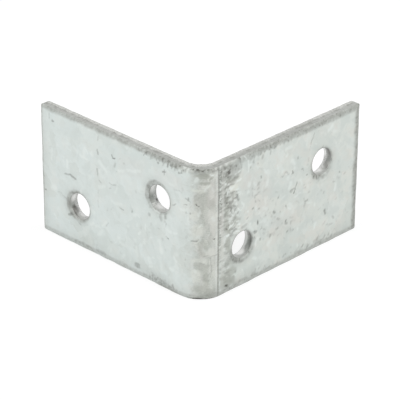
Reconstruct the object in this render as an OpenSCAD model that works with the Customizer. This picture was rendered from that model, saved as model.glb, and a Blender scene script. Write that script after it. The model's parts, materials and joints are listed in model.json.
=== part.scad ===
// Corner brace: one strip of galvanised steel, punched with four holes, cut off and folded square.
// The strip stands on its long edge, with the fold upright.
// Origin: where the planes of the two outer faces meet, at the level of the bottom edge.
// Leg X runs along +X with its outer face in the plane Y = 0, and leg Y runs along +Y with its
// outer face in the plane X = 0.

/* [Strip] */
// Length of leg X, from the outer corner to its cut end
leg_x = 40.3; // [39:0.1:120]
// Length of leg Y, from the outer corner to its cut end
leg_y = 40; // [39:0.1:120]
// Width of the strip, which is the height of the brace
width = 25; // [18:0.1:60]
// Thickness of the sheet
sheet = 2; // [1.5:0.1:3]
// Radius inside the fold
bend_inner = 3; // [1.5:0.1:4]

/* [Holes] */
// Diameter of the punched holes
hole_d = 5; // [3:0.1:6]
// Distance from a cut end to the centre of the hole nearest to it
hole_end = 9.8; // [5:0.1:11]
// Distance along a leg between the centres of its two holes
hole_pitch = 20.1; // [8:0.1:21]
// How far a hole's centre lies above or below the middle of the strip
hole_stagger = 4.45; // [0:0.05:5]

/* [Sheared edges] */
// Width of the face that the shear rolled over along the strip's edges
edge_roll_w = 0.95; // [0.3:0.05:1.5]
// Depth of the rolled-over band at the edge itself
edge_roll_d = 0.35; // [0.15:0.05:0.6]
// Width of the rolled-over band round each hole
hole_roll_w = 0.7; // [0.2:0.05:1]
// Depth of the rolled-over band at a hole's wall
hole_roll_d = 0.25; // [0.1:0.05:0.5]
// How much of the sheet the shear cut cleanly, from the outer face, before it broke
clean_cut = 1.1; // [0.8:0.05:1.4]
// How far the broken part of an edge leans back by the time it reaches the inner face
break_lean = 0.12; // [0:0.01:0.3]

/* [Hidden] */

$fn = 128;

bend_outer = bend_inner + sheet;
// A cutter reaches this far past the faces that it cuts through
over = 0.5;
// The rolled-over arc meets the face at a slight angle, by being set this far out of it
roll_lift = 0.004;

// Waste of one sheared edge, in section: x is the depth under the outer face, and y runs from
// the cut edge into the strip. The outer face rolls over towards the cut, the cut runs clean
// for a while, and the rest breaks away at a lean.
module shear_waste(roll_w, roll_d)
{
    roll_r = (roll_w * roll_w + roll_d * roll_d) / (2 * roll_d);
    lean_over = break_lean * (sheet + over - clean_cut) / (sheet - clean_cut);
    difference()
    {
        translate([-over, -over]) square([over + roll_d, over + roll_w]);
        translate([roll_r - roll_lift, roll_w]) circle(r = roll_r);
    }
    translate([-over, -over]) square([sheet + 2 * over, over]);
    polygon([[clean_cut, 0], [clean_cut, -over], [sheet + over, -over], [sheet + over, lean_over]]);
}

// Section of the strip across its width, with both long edges sheared
module strip_section()
{
    difference()
    {
        square([sheet, width]);
        shear_waste(edge_roll_w, edge_roll_d);
        translate([0, width]) mirror([0, 1]) shear_waste(edge_roll_w, edge_roll_d);
    }
}

// The strip before its holes and ends are cut: leg X, the fold and leg Y
module folded_strip()
{
    translate([bend_outer, 0, 0]) rotate([90, 0, 90])
        linear_extrude(leg_x - bend_outer) strip_section();
    translate([bend_outer, bend_outer, 0]) rotate([0, 0, 180])
        rotate_extrude(angle = 90) translate([bend_outer, 0]) mirror([1, 0]) strip_section();
    translate([0, leg_y, 0]) rotate([90, 0, 0])
        linear_extrude(leg_y - bend_outer) strip_section();
}

// What the cut-off tool takes from the end of leg Y, drawn in plan
module end_waste()
{
    translate([0, 0, -over]) linear_extrude(width + 2 * over)
        mirror([0, 1]) shear_waste(edge_roll_w, edge_roll_d);
}

// What the punch takes: a round hole along +Z, whose rim rolls over at Z = 0
module hole_waste()
{
    rotate_extrude()
    {
        translate([0, -over]) square([hole_d / 2, sheet + 2 * over]);
        translate([hole_d / 2, 0]) mirror([1, -1, 0]) shear_waste(hole_roll_w, hole_roll_d);
    }
}

// The two holes of a leg that runs along +X with its outer face at Y = 0: the one near the cut
// end is raised by the stagger, and the one near the fold lies as far below the middle
module leg_holes(leg, lift)
{
    for (step = [0, 1])
        translate([leg - hole_end - step * hole_pitch, 0, width / 2 + (1 - 2 * step) * lift])
            rotate([-90, 0, 0]) hole_waste();
}

// The whole brace
module bracket()
{
    color([0.78, 0.8, 0.79])
    difference()
    {
        folded_strip();
        translate([leg_x, 0, 0]) mirror([1, -1, 0]) end_waste();
        translate([0, leg_y, 0]) end_waste();
        leg_holes(leg_x, hole_stagger);
        mirror([1, -1, 0]) leg_holes(leg_y, -hole_stagger);
    }
}

bracket();
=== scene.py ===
"""Corner brace: one strip of galvanised steel, sheared, punched with four holes and folded square.

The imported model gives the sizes. The strip is built again here as a fine net over the flat blank. The
net is sheared and punched as the real strip is, then folded, and dressed with its coat of zinc. A place
on the blank has three numbers: along, from the middle of the fold towards the end of leg X, height, from
the bottom edge, and depth, under the outer face. These are in millimetres, and meshes are in metres.
"""

import json
import logging
import math
from dataclasses import dataclass, field
from enum import Enum
from typing import Iterable, NamedTuple, Sequence, Union

import bpy
import numpy as np
from mathutils import Matrix, Vector


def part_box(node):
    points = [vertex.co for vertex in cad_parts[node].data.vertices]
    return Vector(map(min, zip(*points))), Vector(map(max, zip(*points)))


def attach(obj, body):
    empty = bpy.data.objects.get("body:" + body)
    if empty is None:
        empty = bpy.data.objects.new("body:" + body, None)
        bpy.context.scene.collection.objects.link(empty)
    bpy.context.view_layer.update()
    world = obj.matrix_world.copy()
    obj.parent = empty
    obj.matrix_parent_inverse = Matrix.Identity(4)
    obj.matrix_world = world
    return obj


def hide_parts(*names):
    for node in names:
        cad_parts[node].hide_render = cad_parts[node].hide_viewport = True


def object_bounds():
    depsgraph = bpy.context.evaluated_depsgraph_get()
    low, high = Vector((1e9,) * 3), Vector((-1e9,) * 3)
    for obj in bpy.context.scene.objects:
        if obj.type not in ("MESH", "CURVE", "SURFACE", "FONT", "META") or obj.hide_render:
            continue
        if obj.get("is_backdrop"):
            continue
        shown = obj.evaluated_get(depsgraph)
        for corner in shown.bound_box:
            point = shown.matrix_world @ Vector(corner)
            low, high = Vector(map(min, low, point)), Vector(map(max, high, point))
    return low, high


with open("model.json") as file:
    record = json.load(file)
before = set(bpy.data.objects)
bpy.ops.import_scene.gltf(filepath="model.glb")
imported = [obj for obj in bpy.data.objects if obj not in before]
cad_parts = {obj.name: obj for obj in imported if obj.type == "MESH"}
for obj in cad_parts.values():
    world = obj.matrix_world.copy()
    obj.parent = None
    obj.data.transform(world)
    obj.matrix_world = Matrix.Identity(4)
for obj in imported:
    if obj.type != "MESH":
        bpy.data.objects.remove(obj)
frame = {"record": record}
packed_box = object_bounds()

log = logging.getLogger("corner_brace")

MM = 0.001
NODE = "bracket"
BODY = "root"

# The press left its line beside the fold at this place along the blank, on leg X.
PRESS_LINE = 3.3

Numbers = Union[np.ndarray, float]
Colour = tuple[float, float, float, float]
Socket = Union[bpy.types.NodeSocket, float, Sequence[float]]

WHITE: Colour = (1.0, 1.0, 1.0, 1.0)


def smooth_step(value: np.ndarray, low: float, high: float) -> np.ndarray:
    """Rises softly from 0 where value is low to 1 where it is high.

    Args:
        value: The numbers to map.
        low: Where the result is 0. It may lie above high, and the result then falls.
        high: Where the result is 1.

    Returns:
        Numbers from 0 to 1, in the shape of value.
    """
    share = np.clip((value - low) / (high - low), 0.0, 1.0)
    return share * share * (3.0 - 2.0 * share)


def bell(value: np.ndarray, centre: float, width: float) -> np.ndarray:
    """A soft hump, 1 at the centre and about a third one width away."""
    return np.exp(-(((value - centre) / width) ** 2))


def paint(red: int, green: int, blue: int) -> Colour:
    """Turns a colour as it shows on a screen, 0 to 255, into the linear colour of a shader.

    Args:
        red: Red, 0 to 255.
        green: Green, 0 to 255.
        blue: Blue, 0 to 255.

    Returns:
        Red, green, blue and an alpha of 1.
    """
    linear = [
        level / 255 / 12.92 if level <= 10 else ((level / 255 + 0.055) / 1.055) ** 2.4
        for level in (red, green, blue)
    ]
    return (linear[0], linear[1], linear[2], 1.0)


class Grain:
    """Smooth seeded noise over two lengths, from about -1 to 1, with its own pitch along each."""

    LATTICE = 256

    def __init__(self, seed: int, pitch_a: float, pitch_b: float) -> None:
        """Draws the lattice of random values.

        Args:
            seed: The seed of the random values.
            pitch_a: Millimetres from one value to the next along the first length.
            pitch_b: The same along the second length.
        """
        self.values = np.random.default_rng(seed).uniform(-1.0, 1.0, (self.LATTICE, self.LATTICE))
        self.pitch_a = pitch_a
        self.pitch_b = pitch_b

    def at(self, a: np.ndarray, b: np.ndarray) -> np.ndarray:
        """Reads the noise at places given by two lengths.

        Args:
            a: Millimetres along the first length.
            b: Millimetres along the second length.

        Returns:
            The noise at each place.
        """
        a, b = np.broadcast_arrays(np.asarray(a) / self.pitch_a, np.asarray(b) / self.pitch_b)
        low_a, low_b = np.floor(a).astype(int), np.floor(b).astype(int)
        part_a, part_b = smooth_step(a - low_a, 0.0, 1.0), smooth_step(b - low_b, 0.0, 1.0)
        low_a, low_b = low_a % self.LATTICE, low_b % self.LATTICE
        next_a, next_b = (low_a + 1) % self.LATTICE, (low_b + 1) % self.LATTICE
        near = self.values[low_a, low_b] * (1 - part_a) + self.values[next_a, low_b] * part_a
        far = self.values[low_a, next_b] * (1 - part_a) + self.values[next_a, next_b] * part_a
        return near * (1 - part_b) + far * part_b


class Noise:
    """The noise of each feature: its seed, then its pitches along the strip and up it, in millimetres."""

    SLOW_WEAR_AND_SHADE = Grain(11, 2.6, 3.0)
    SIDE_WEAR_AND_SHADE = Grain(14, 2.0, 1.1)
    THIN_STREAKS = Grain(12, 0.34, 3.0)
    WIDE_STREAKS = Grain(13, 0.8, 4.0)
    BLOTS = Grain(15, 0.9, 0.6)
    SWAY = (Grain(21, 0.9, 0.9), Grain(22, 0.9, 0.9))
    JITTER = (Grain(23, 0.35, 0.35), Grain(24, 0.35, 0.35))
    WAVES = Grain(31, 3.5, 3.5)
    RIPPLES = Grain(32, 1.1, 1.1)
    CREASES = Grain(33, 0.8, 2.4)
    FINE_CREASES = Grain(34, 0.3, 3.0)
    GROOVE = Grain(35, 9.0, 1.6)
    PITS = Grain(36, 0.3, 0.36)
    DRAG = Grain(37, 1.1, 0.5)
    ROLL = Grain(41, 1.9, 2.3)
    ROLL_NICKS = Grain(42, 0.5, 0.5)
    TORN_RIM = Grain(51, 0.5, 0.5)
    INNER_WAVES = Grain(52, 3.0, 3.0)
    INNER_CREASES = Grain(53, 0.6, 5.0)
    BURR = Grain(54, 0.8, 0.8)
    INNER_WEAR = Grain(55, 0.7, 0.7)


@dataclass(frozen=True)
class Hole:
    """A punched hole on the flat blank."""

    name: str
    along: float
    height: float
    radius: float

    def reach(self, points: np.ndarray) -> np.ndarray:
        """How far points of the blank lie from the hole's wall."""
        return np.hypot(points[:, 0] - self.along, points[:, 1] - self.height) - self.radius

    def bearing(self, points: np.ndarray) -> np.ndarray:
        """The angle of each point round the hole, in radians from the along direction."""
        return np.arctan2(points[:, 1] - self.height, points[:, 0] - self.along)


@dataclass(frozen=True)
class Strip:
    """The strip's sizes, and the fold that takes a place on the flat blank to its place on the brace.

    All are in millimetres. The bend's radius is that of the fold's outer side, and the corner's radius
    rounds the four corners of the blank.
    """

    leg_x: float
    leg_y: float
    width: float
    sheet: float
    bend_outer: float
    corner: float
    holes: tuple[Hole, ...]

    @classmethod
    def from_frame(cls, bend_outer: float = 5.0, corner: float = 0.4) -> "Strip":
        """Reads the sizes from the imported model.

        Args:
            bend_outer: Outer radius of the fold.
            corner: Radius that rounds the four corners of the blank.

        Returns:
            The strip.
        """
        low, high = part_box(NODE)
        mounts = {m["name"]: m for m in frame["record"]["mounts"]}
        sheet = mounts["inner_face_x"]["pos_m"][1] / MM
        half_fold = bend_outer * math.pi / 4
        holes = []
        for name, mount in mounts.items():
            if mount["kind"] != "bore":
                continue
            x, y, z = (value / MM for value in mount["pos_m"])
            on_leg_x = abs(mount["axis"][1]) > 0.5
            run = (x if on_leg_x else y) - bend_outer + half_fold
            holes.append(Hole(name, run if on_leg_x else -run, z, mount["dims"]["r_mm"]))
        holes.sort(key=lambda hole: hole.along)
        width = (high[2] - low[2]) / MM
        return cls(high[0] / MM, high[1] / MM, width, sheet, bend_outer, corner, tuple(holes))

    @property
    def half_fold(self) -> float:
        """Half the length of the fold's arc over the outer face."""
        return self.bend_outer * math.pi / 4

    @property
    def low(self) -> tuple[float, float]:
        """The blank's corner at the end of leg Y and the bottom edge."""
        return (self.bend_outer - self.half_fold - self.leg_y, 0.0)

    @property
    def high(self) -> tuple[float, float]:
        """The blank's corner at the end of leg X and the top edge."""
        return (self.leg_x - self.bend_outer + self.half_fold, self.width)

    def fold(self, blank: np.ndarray) -> np.ndarray:
        """Folds places of the flat blank onto the brace.

        Args:
            blank: Rows of along, height and depth.

        Returns:
            Rows of x, y and z, still in millimetres.
        """
        along, height, depth = blank.T
        on_arc = np.clip(along, -self.half_fold, self.half_fold)
        past = along - on_arc
        angle = math.radians(225) + on_arc / self.bend_outer
        reach = self.bend_outer - depth
        x = self.bend_outer + reach * np.cos(angle) - past * np.sin(angle)
        y = self.bend_outer + reach * np.sin(angle) + past * np.cos(angle)
        return np.column_stack([x, y, height])

    def round_corners(self, points: np.ndarray) -> np.ndarray:
        """Draws in the blank's four corners to arcs.

        Args:
            points: Rows of along and height.

        Returns:
            The moved rows. Points away from the corners stay as they are.
        """
        middle = (np.array(self.low) + np.array(self.high)) / 2
        half = (np.array(self.high) - np.array(self.low)) / 2
        offset = points - middle
        past = np.clip(np.abs(offset) - (half - self.corner), 0.0, None)
        squeeze = np.sqrt(1 - past[:, ::-1] ** 2 / (2 * self.corner**2))
        both = (past > 0).all(axis=1)[:, None]
        drawn = np.sign(offset) * (half - self.corner + past * squeeze)
        return np.where(both, middle + drawn, points)

    def edge_reach(self, points: np.ndarray) -> np.ndarray:
        """How far points of the blank lie from its outline, with its rounded corners.

        Args:
            points: Rows of along and height.

        Returns:
            The distance of each point.
        """
        inside = np.minimum(points - self.low, np.array(self.high) - points)
        near = np.clip(self.corner - inside, 0.0, None)
        at_corner = (near > 0).all(axis=1)
        return np.where(at_corner, self.corner - np.hypot(*near.T), inside.min(axis=1))

    def hole_reach(self, points: np.ndarray) -> np.ndarray:
        """How far points of the blank lie from the nearest hole's wall."""
        return np.min([hole.reach(points) for hole in self.holes], axis=0)

    def lean_back(self, points: np.ndarray, amount: np.ndarray, band: float = 1.2) -> np.ndarray:
        """Moves points near a cut edge away from it.

        Args:
            points: Rows of along and height.
            amount: How far a point on the edge itself moves.
            band: The width beside the edge over which the move fades out.

        Returns:
            The moved rows.
        """
        moved = points.copy()
        for axis in (0, 1):
            after_low = np.clip(1 - (points[:, axis] - self.low[axis]) / band, 0.0, 1.0)
            before_high = np.clip(1 - (self.high[axis] - points[:, axis]) / band, 0.0, 1.0)
            moved[:, axis] += amount * (after_low - before_high)
        for hole in self.holes:
            share = np.clip(1 - hole.reach(points) / band, 0.0, 1.0)
            bearing = hole.bearing(points)
            moved[:, 0] += amount * share * np.cos(bearing)
            moved[:, 1] += amount * share * np.sin(bearing)
        return moved


class Net(NamedTuple):
    """Quads over one side of the flat blank, and the rings of points where its walls begin."""

    points: np.ndarray
    quads: np.ndarray
    outline: np.ndarray
    rims: list[np.ndarray]


@dataclass(frozen=True)
class NetMaker:
    """Draws a net over the flat blank, finer along its edges and over the fold, with rings round each hole.

    A square of twice the block's size holds each hole's rings. The other sizes are the spacings of the
    lines, the widths of the fine bands along the edges and round the holes, and the counts of the rings.
    """

    strip: Strip
    block: float = 4.0
    cell: float = 0.2
    fine_cell: float = 0.15
    fold_cell: float = 0.125
    edge_band: float = 1.2
    rim_band: float = 0.8
    rim_rings: int = 6
    outer_rings: int = 7

    @staticmethod
    def rule(stops: Sequence[tuple[float, float]]) -> np.ndarray:
        """Rules lines between stops.

        Args:
            stops: Each stop's place, and the spacing of the lines from there to the next stop.

        Returns:
            The places of the lines. There is an even number of gaps from each stop to the next.
        """
        lines = []
        for (start, spacing), (end, _) in zip(stops, stops[1:]):
            gaps = 2 * max(1, round((end - start) / spacing / 2))
            lines.extend(np.linspace(start, end, gaps, endpoint=False))
        return np.array(lines + [stops[-1][0]])

    def along_lines(self) -> np.ndarray:
        """Rules the lines that run up the strip, finest over the fold.

        Returns:
            Their places along it.
        """
        start, end = self.strip.low[0], self.strip.high[0]
        stops = [(start, self.fine_cell), (start + self.edge_band, self.cell)]
        last_before_fold = max(hole.along for hole in self.strip.holes if hole.along < 0)
        for hole in self.strip.holes:
            stops.append((hole.along - self.block, self.cell))
            on_to_fold = hole.along == last_before_fold
            stops.append((hole.along + self.block, self.fold_cell if on_to_fold else self.cell))
        return self.rule(stops + [(end - self.edge_band, self.fine_cell), (end, self.cell)])

    def height_lines(self) -> np.ndarray:
        """Rules the lines that run along the strip.

        Returns:
            Their heights.
        """
        start, end = self.strip.low[1], self.strip.high[1]
        stops = [(start, self.fine_cell), (start + self.edge_band, self.cell)]
        for height in sorted({round(hole.height, 3) for hole in self.strip.holes}):
            stops += [(height - self.block, self.cell), (height + self.block, self.cell)]
        return self.rule(stops + [(end - self.edge_band, self.fine_cell), (end, self.cell)])

    def draw(self, coarse: int) -> Net:
        """Draws the net.

        Args:
            coarse: 1 for every line, or 2 for every second one.

        Returns:
            The net, with its outline and rims running anticlockwise as seen from outside the brace.
        """
        along, height = self.along_lines()[::coarse], self.height_lines()[::coarse]
        kept = np.ones((len(along), len(height)), bool)
        open_cells = np.ones((len(along) - 1, len(height) - 1), bool)
        corners = []
        for hole in self.strip.holes:
            i, j = (
                [int(np.abs(lines - (place + side * self.block)).argmin()) for side in (-1, 1)]
                for lines, place in ((along, hole.along), (height, hole.height))
            )
            kept[i[0] + 1 : i[1], j[0] + 1 : j[1]] = False
            open_cells[i[0] : i[1], j[0] : j[1]] = False
            corners.append((i, j))
        index = np.full(kept.shape, -1)
        index[kept] = np.arange(kept.sum())
        crossings = np.column_stack([np.repeat(along, len(height)), np.tile(height, len(along))])
        points = [crossings[kept.ravel()]]
        cell_corners = (index[:-1, :-1], index[1:, :-1], index[1:, 1:], index[:-1, 1:])
        quads = [np.column_stack([part[open_cells] for part in cell_corners])]
        rims = []
        for hole, (i, j) in zip(self.strip.holes, corners):
            square = self.ring_of(index[i[0] : i[1] + 1, j[0] : j[1] + 1])
            rings = self.rings(hole, points[0][square], coarse)
            start = sum(len(part) for part in points)
            numbers = [start + k * len(square) + np.arange(len(square)) for k in range(len(rings))] + [square]
            points.extend(rings)
            for inner, outer in zip(numbers, numbers[1:]):
                quads.append(np.column_stack([inner, outer, np.roll(outer, -1), np.roll(inner, -1)]))
            rims.append(numbers[0])
        return Net(np.vstack(points), np.vstack(quads), self.ring_of(index), rims)

    @staticmethod
    def ring_of(index: np.ndarray) -> np.ndarray:
        """The numbers round the border of a table of point numbers, anticlockwise from its first corner."""
        return np.concatenate([index[:-1, 0], index[-1, :-1], index[:0:-1, -1], index[0, :0:-1]])

    def rings(self, hole: Hole, square: np.ndarray, coarse: int) -> list[np.ndarray]:
        """Points of the rings between a hole's wall and the square that holds it.

        Args:
            hole: The hole.
            square: The points of the square's border, anticlockwise from its lower left corner.
            coarse: 1 for every ring, or 2 for about half of them.

        Returns:
            The rings from the wall outward, without the square itself.
        """
        angle = math.radians(225) + np.arange(len(square)) * 2 * math.pi / len(square)
        ray = np.column_stack([np.cos(angle), np.sin(angle)])
        centre = np.array([hole.along, hole.height])
        widths = np.linspace(0.0, self.rim_band, self.rim_rings // coarse + 1)
        made = [centre + ray * (hole.radius + width) for width in widths]
        shares = np.linspace(0.0, 1.0, self.outer_rings // coarse + 1)[1:-1]
        return made + [made[-1] * (1 - share) + square * share for share in shares]


class MarkKind(Enum):
    """What a mark does to the zinc."""

    SCUFF = 1.0
    FLECK = -1.0


@dataclass(frozen=True)
class Mark:
    """A mark from one place on the outer face to another: a dark scuff that is sunk, or a light fleck."""

    start: tuple[float, float]
    end: tuple[float, float]
    half_width: float
    strength: float
    kind: MarkKind = MarkKind.SCUFF

    def cover(self, points: np.ndarray) -> np.ndarray:
        """How strongly the mark shows at each point.

        Args:
            points: Rows of along and height.

        Returns:
            The strength, above 0 for a scuff and below 0 for a fleck.
        """
        start, run = np.array(self.start), np.subtract(self.end, self.start)
        share = np.clip((points - start) @ run / max(run @ run, 1e-9), 0.0, 1.0)
        away = np.hypot(*(points - start - share[:, None] * run).T)
        shape = smooth_step(away, self.half_width * 1.7, self.half_width * 0.3)
        return self.kind.value * self.strength * shape


def scuffs(*rows: tuple[float, ...]) -> tuple[Mark, ...]:
    """Dark marks, each given as along, height, along, height, half width and strength."""
    return tuple(Mark(row[0:2], row[2:4], row[4], row[5]) for row in rows)


def flecks(*rows: tuple[float, ...]) -> tuple[Mark, ...]:
    """Light marks, each given as along, height, along, height, half width and strength."""
    return tuple(Mark(row[0:2], row[2:4], row[4], row[5], MarkKind.FLECK) for row in rows)


LEG_Y_MARKS = scuffs(
    (-36.5, 23.9, -36.5, 23.0, 0.15, 0.4), (-35.6, 22.8, -35.3, 22.6, 0.17, 0.5),
    (-32.6, 13.3, -31.3, 13.7, 0.2, 0.4), (-31.3, 13.7, -29.9, 13.3, 0.22, 0.45),
    (-24.0, 23.7, -24.0, 22.9, 0.17, 0.35), (-24.1, 21.1, -23.9, 20.3, 0.17, 0.4),
    (-24.2, 17.3, -24.1, 15.8, 0.2, 0.4), (-24.1, 15.8, -23.2, 14.8, 0.18, 0.4),
    (-24.0, 13.5, -24.1, 9.9, 0.17, 0.2), (-20.6, 21.2, -20.2, 20.85, 0.11, 0.5),
    (-20.2, 20.85, -19.7, 20.9, 0.13, 0.6),
    (-21.4, 18.0, -19.2, 18.6, 0.15, 0.18), (-19.6, 18.6, -19.4, 18.6, 0.15, 0.4),
    (-21.2, 15.6, -18.8, 15.7, 0.17, 0.35),
    (-18.6, 11.8, -17.7, 11.6, 0.18, 0.4), (-15.8, 12.7, -15.6, 12.1, 0.25, 0.4),
    (-33.5, 9.1, -32.3, 8.5, 0.16, 0.25), (-31.9, 5.5, -31.0, 6.0, 0.22, 0.45),
    (-38.4, 11.7, -38.3, 11.1, 0.18, 0.5), (-38.2, 8.3, -37.8, 8.4, 0.18, 0.5),
    (-8.0, 22.5, -7.2, 22.6, 0.16, 0.5), (-7.6, 22.9, -7.6, 22.1, 0.15, 0.5),
    (-5.5, 20.1, -3.3, 20.2, 0.14, 0.25), (-2.7, 19.4, -1.8, 18.95, 0.14, 0.4),
    (-2.1, 19.7, -2.2, 19.1, 0.14, 0.4),
    (-5.6, 17.2, -4.8, 17.5, 0.15, 0.35), (-8.4, 14.3, -8.4, 13.3, 0.4, 0.32),
    (-7.3, 14.7, -7.3, 13.8, 0.36, 0.38), (-7.1, 10.5, -6.8, 10.3, 0.2, 0.65),
    (-9.7, 11.6, -7.2, 10.5, 0.15, 0.2), (-8.0, 9.6, -8.1, 8.3, 0.3, 0.25),
    (-14.6, 2.2, -14.1, 2.2, 0.4, 0.42), (-14.6, 1.9, -14.1, 1.9, 0.4, 0.42),
    (-9.2, 1.3, -8.0, 1.3, 0.35, 0.3),
    (-8.0, 1.1, -6.3, 0.9, 0.4, 0.36), (-10.7, 1.9, -10.0, 1.6, 0.24, 0.3),
    (-30.4, 0.95, -28.0, 1.0, 0.36, 0.26), (-27.5, 1.0, -26.0, 0.95, 0.32, 0.26),
    (-25.0, 1.7, -23.9, 1.3, 0.2, 0.24), (-24.6, 1.2, -22.8, 1.1, 0.4, 0.3),
    (-20.0, 1.1, -17.0, 1.1, 0.34, 0.16),
    (-5.4, 6.3, -5.4, 5.6, 0.2, 0.28), (-7.5, 7.8, -7.4, 7.6, 0.24, 0.3),
    (-18.7, 2.9, -18.5, 2.8, 0.26, 0.22),
    (-24.7, 2.2, -24.6, 2.1, 0.22, 0.24), (-11.3, 13.3, -11.2, 13.1, 0.32, 0.3),
    (-9.1, 11.4, -8.9, 11.3, 0.2, 0.3),
)
FOLD_MARKS = scuffs(
    (-1.4, 24.8, -1.2, 24.9, 0.09, 0.75), (-0.7, 24.85, -0.45, 24.9, 0.1, 0.8),
    (0.2, 24.8, 0.45, 24.8, 0.12, 0.85), (1.2, 24.85, 1.5, 24.9, 0.11, 0.8),
    (-1.9, 24.75, 2.4, 24.95, 0.12, 0.4), (-1.2, 24.3, 1.8, 24.2, 0.4, 0.2),
    (-0.75, 18.6, -0.55, 18.3, 0.1, 0.7), (-0.55, 18.3, -0.2, 18.05, 0.1, 0.75),
    (-1.5, 11.6, -0.5, 11.7, 0.19, 0.45),
    (2.3, 11.7, 2.4, 11.6, 0.12, 0.85), (0.6, 8.6, 3.0, 8.4, 0.13, 0.36), (1.9, 6.2, 1.95, 4.0, 0.11, 0.26),
    (1.9, 8.2, 1.9, 6.4, 0.11, 0.34), (1.3, 7.3, 1.4, 3.6, 0.15, 0.24),
    (-2.4, 0.3, -1.2, 0.12, 0.12, 0.6), (-1.3, 0.08, 1.1, 0.08, 0.2, 1.0), (1.0, 0.1, 2.2, 0.3, 0.11, 0.6),
)
LEG_X_MARKS = scuffs(
    (5.3, 23.5, 6.0, 23.65, 0.16, 0.55), (5.7, 23.5, 5.8, 22.95, 0.25, 0.75),
    (7.4, 23.8, 7.55, 23.8, 0.18, 0.55),
    (8.05, 23.1, 8.15, 23.0, 0.16, 0.45), (4.4, 23.0, 4.5, 22.9, 0.18, 0.5), (3.8, 22.4, 3.9, 22.3, 0.2, 0.4),
    (5.2, 24.6, 7.6, 24.2, 0.4, 0.2), (8.6, 24.9, 8.5, 23.7, 0.13, 0.45), (5.5, 22.3, 5.6, 22.25, 0.2, 0.5),
    (7.05, 21.65, 7.15, 21.6, 0.2, 0.45), (7.8, 22.0, 8.2, 21.9, 0.18, 0.3),
    (5.6, 21.2, 7.9, 21.7, 0.3, 0.35), (5.7, 20.7, 7.0, 20.5, 0.22, 0.4),
    (5.6, 18.3, 7.8, 17.7, 0.7, 0.22), (7.0, 17.7, 7.8, 17.8, 0.38, 0.5), (6.1, 16.7, 6.3, 16.7, 0.2, 0.4),
    (7.2, 16.2, 7.4, 16.3, 0.2, 0.45), (7.8, 16.1, 8.0, 16.1, 0.18, 0.35), (6.4, 15.4, 7.4, 15.8, 0.2, 0.42),
    (4.9, 17.1, 5.0, 17.1, 0.3, 0.3), (6.9, 13.9, 7.9, 14.3, 0.5, 0.34), (8.0, 14.2, 8.1, 14.1, 0.2, 0.35),
    (5.7, 13.2, 6.7, 13.2, 0.2, 0.35), (9.0, 11.5, 10.2, 11.6, 0.3, 0.3), (6.2, 11.1, 7.5, 11.8, 0.3, 0.4),
    (5.2, 6.0, 6.6, 6.7, 0.5, 0.3),
    (11.9, 22.3, 12.2, 22.4, 0.18, 0.36), (12.5, 22.1, 14.5, 20.3, 0.11, 0.25),
    (13.5, 19.8, 13.6, 19.5, 0.18, 0.45), (13.3, 16.8, 14.4, 16.4, 0.16, 0.25),
    (21.6, 17.9, 21.8, 17.4, 0.21, 0.5), (22.9, 20.2, 23.0, 19.9, 0.17, 0.34),
    (22.9, 15.5, 21.9, 13.4, 0.12, 0.55), (20.0, 11.6, 20.3, 11.1, 0.2, 0.45),
    (14.9, 12.2, 15.1, 11.7, 0.21, 0.55), (12.9, 11.3, 13.1, 10.8, 0.21, 0.65),
    (10.2, 12.8, 10.5, 12.8, 0.18, 0.4), (15.5, 7.4, 17.4, 7.3, 0.4, 0.24), (13.0, 8.5, 13.3, 8.4, 0.2, 0.4),
    (5.8, 3.6, 6.0, 2.0, 0.8, 0.2), (4.9, 1.7, 5.4, 1.6, 0.19, 0.8), (27.0, 23.4, 26.4, 22.0, 0.12, 0.35),
    (26.4, 22.0, 25.7, 20.4, 0.12, 0.35), (24.1, 17.3, 24.3, 16.9, 0.2, 0.55),
    (28.0, 1.6, 29.4, 1.3, 0.5, 0.26), (22.9, 1.5, 24.4, 1.2, 0.45, 0.26), (15.2, 1.3, 16.3, 1.0, 0.4, 0.26),
    (11.8, 1.4, 12.8, 1.1, 0.4, 0.26), (25.0, 10.8, 25.8, 10.8, 0.22, 0.4),
    (30.4, 7.0, 30.6, 6.5, 0.34, 0.46), (32.4, 11.9, 33.2, 11.5, 0.16, 0.35),
    (33.9, 13.3, 34.1, 13.1, 0.18, 0.4), (27.2, 14.9, 27.2, 14.4, 0.16, 0.4),
    (28.1, 14.6, 28.2, 14.0, 0.16, 0.5),
)
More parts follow.
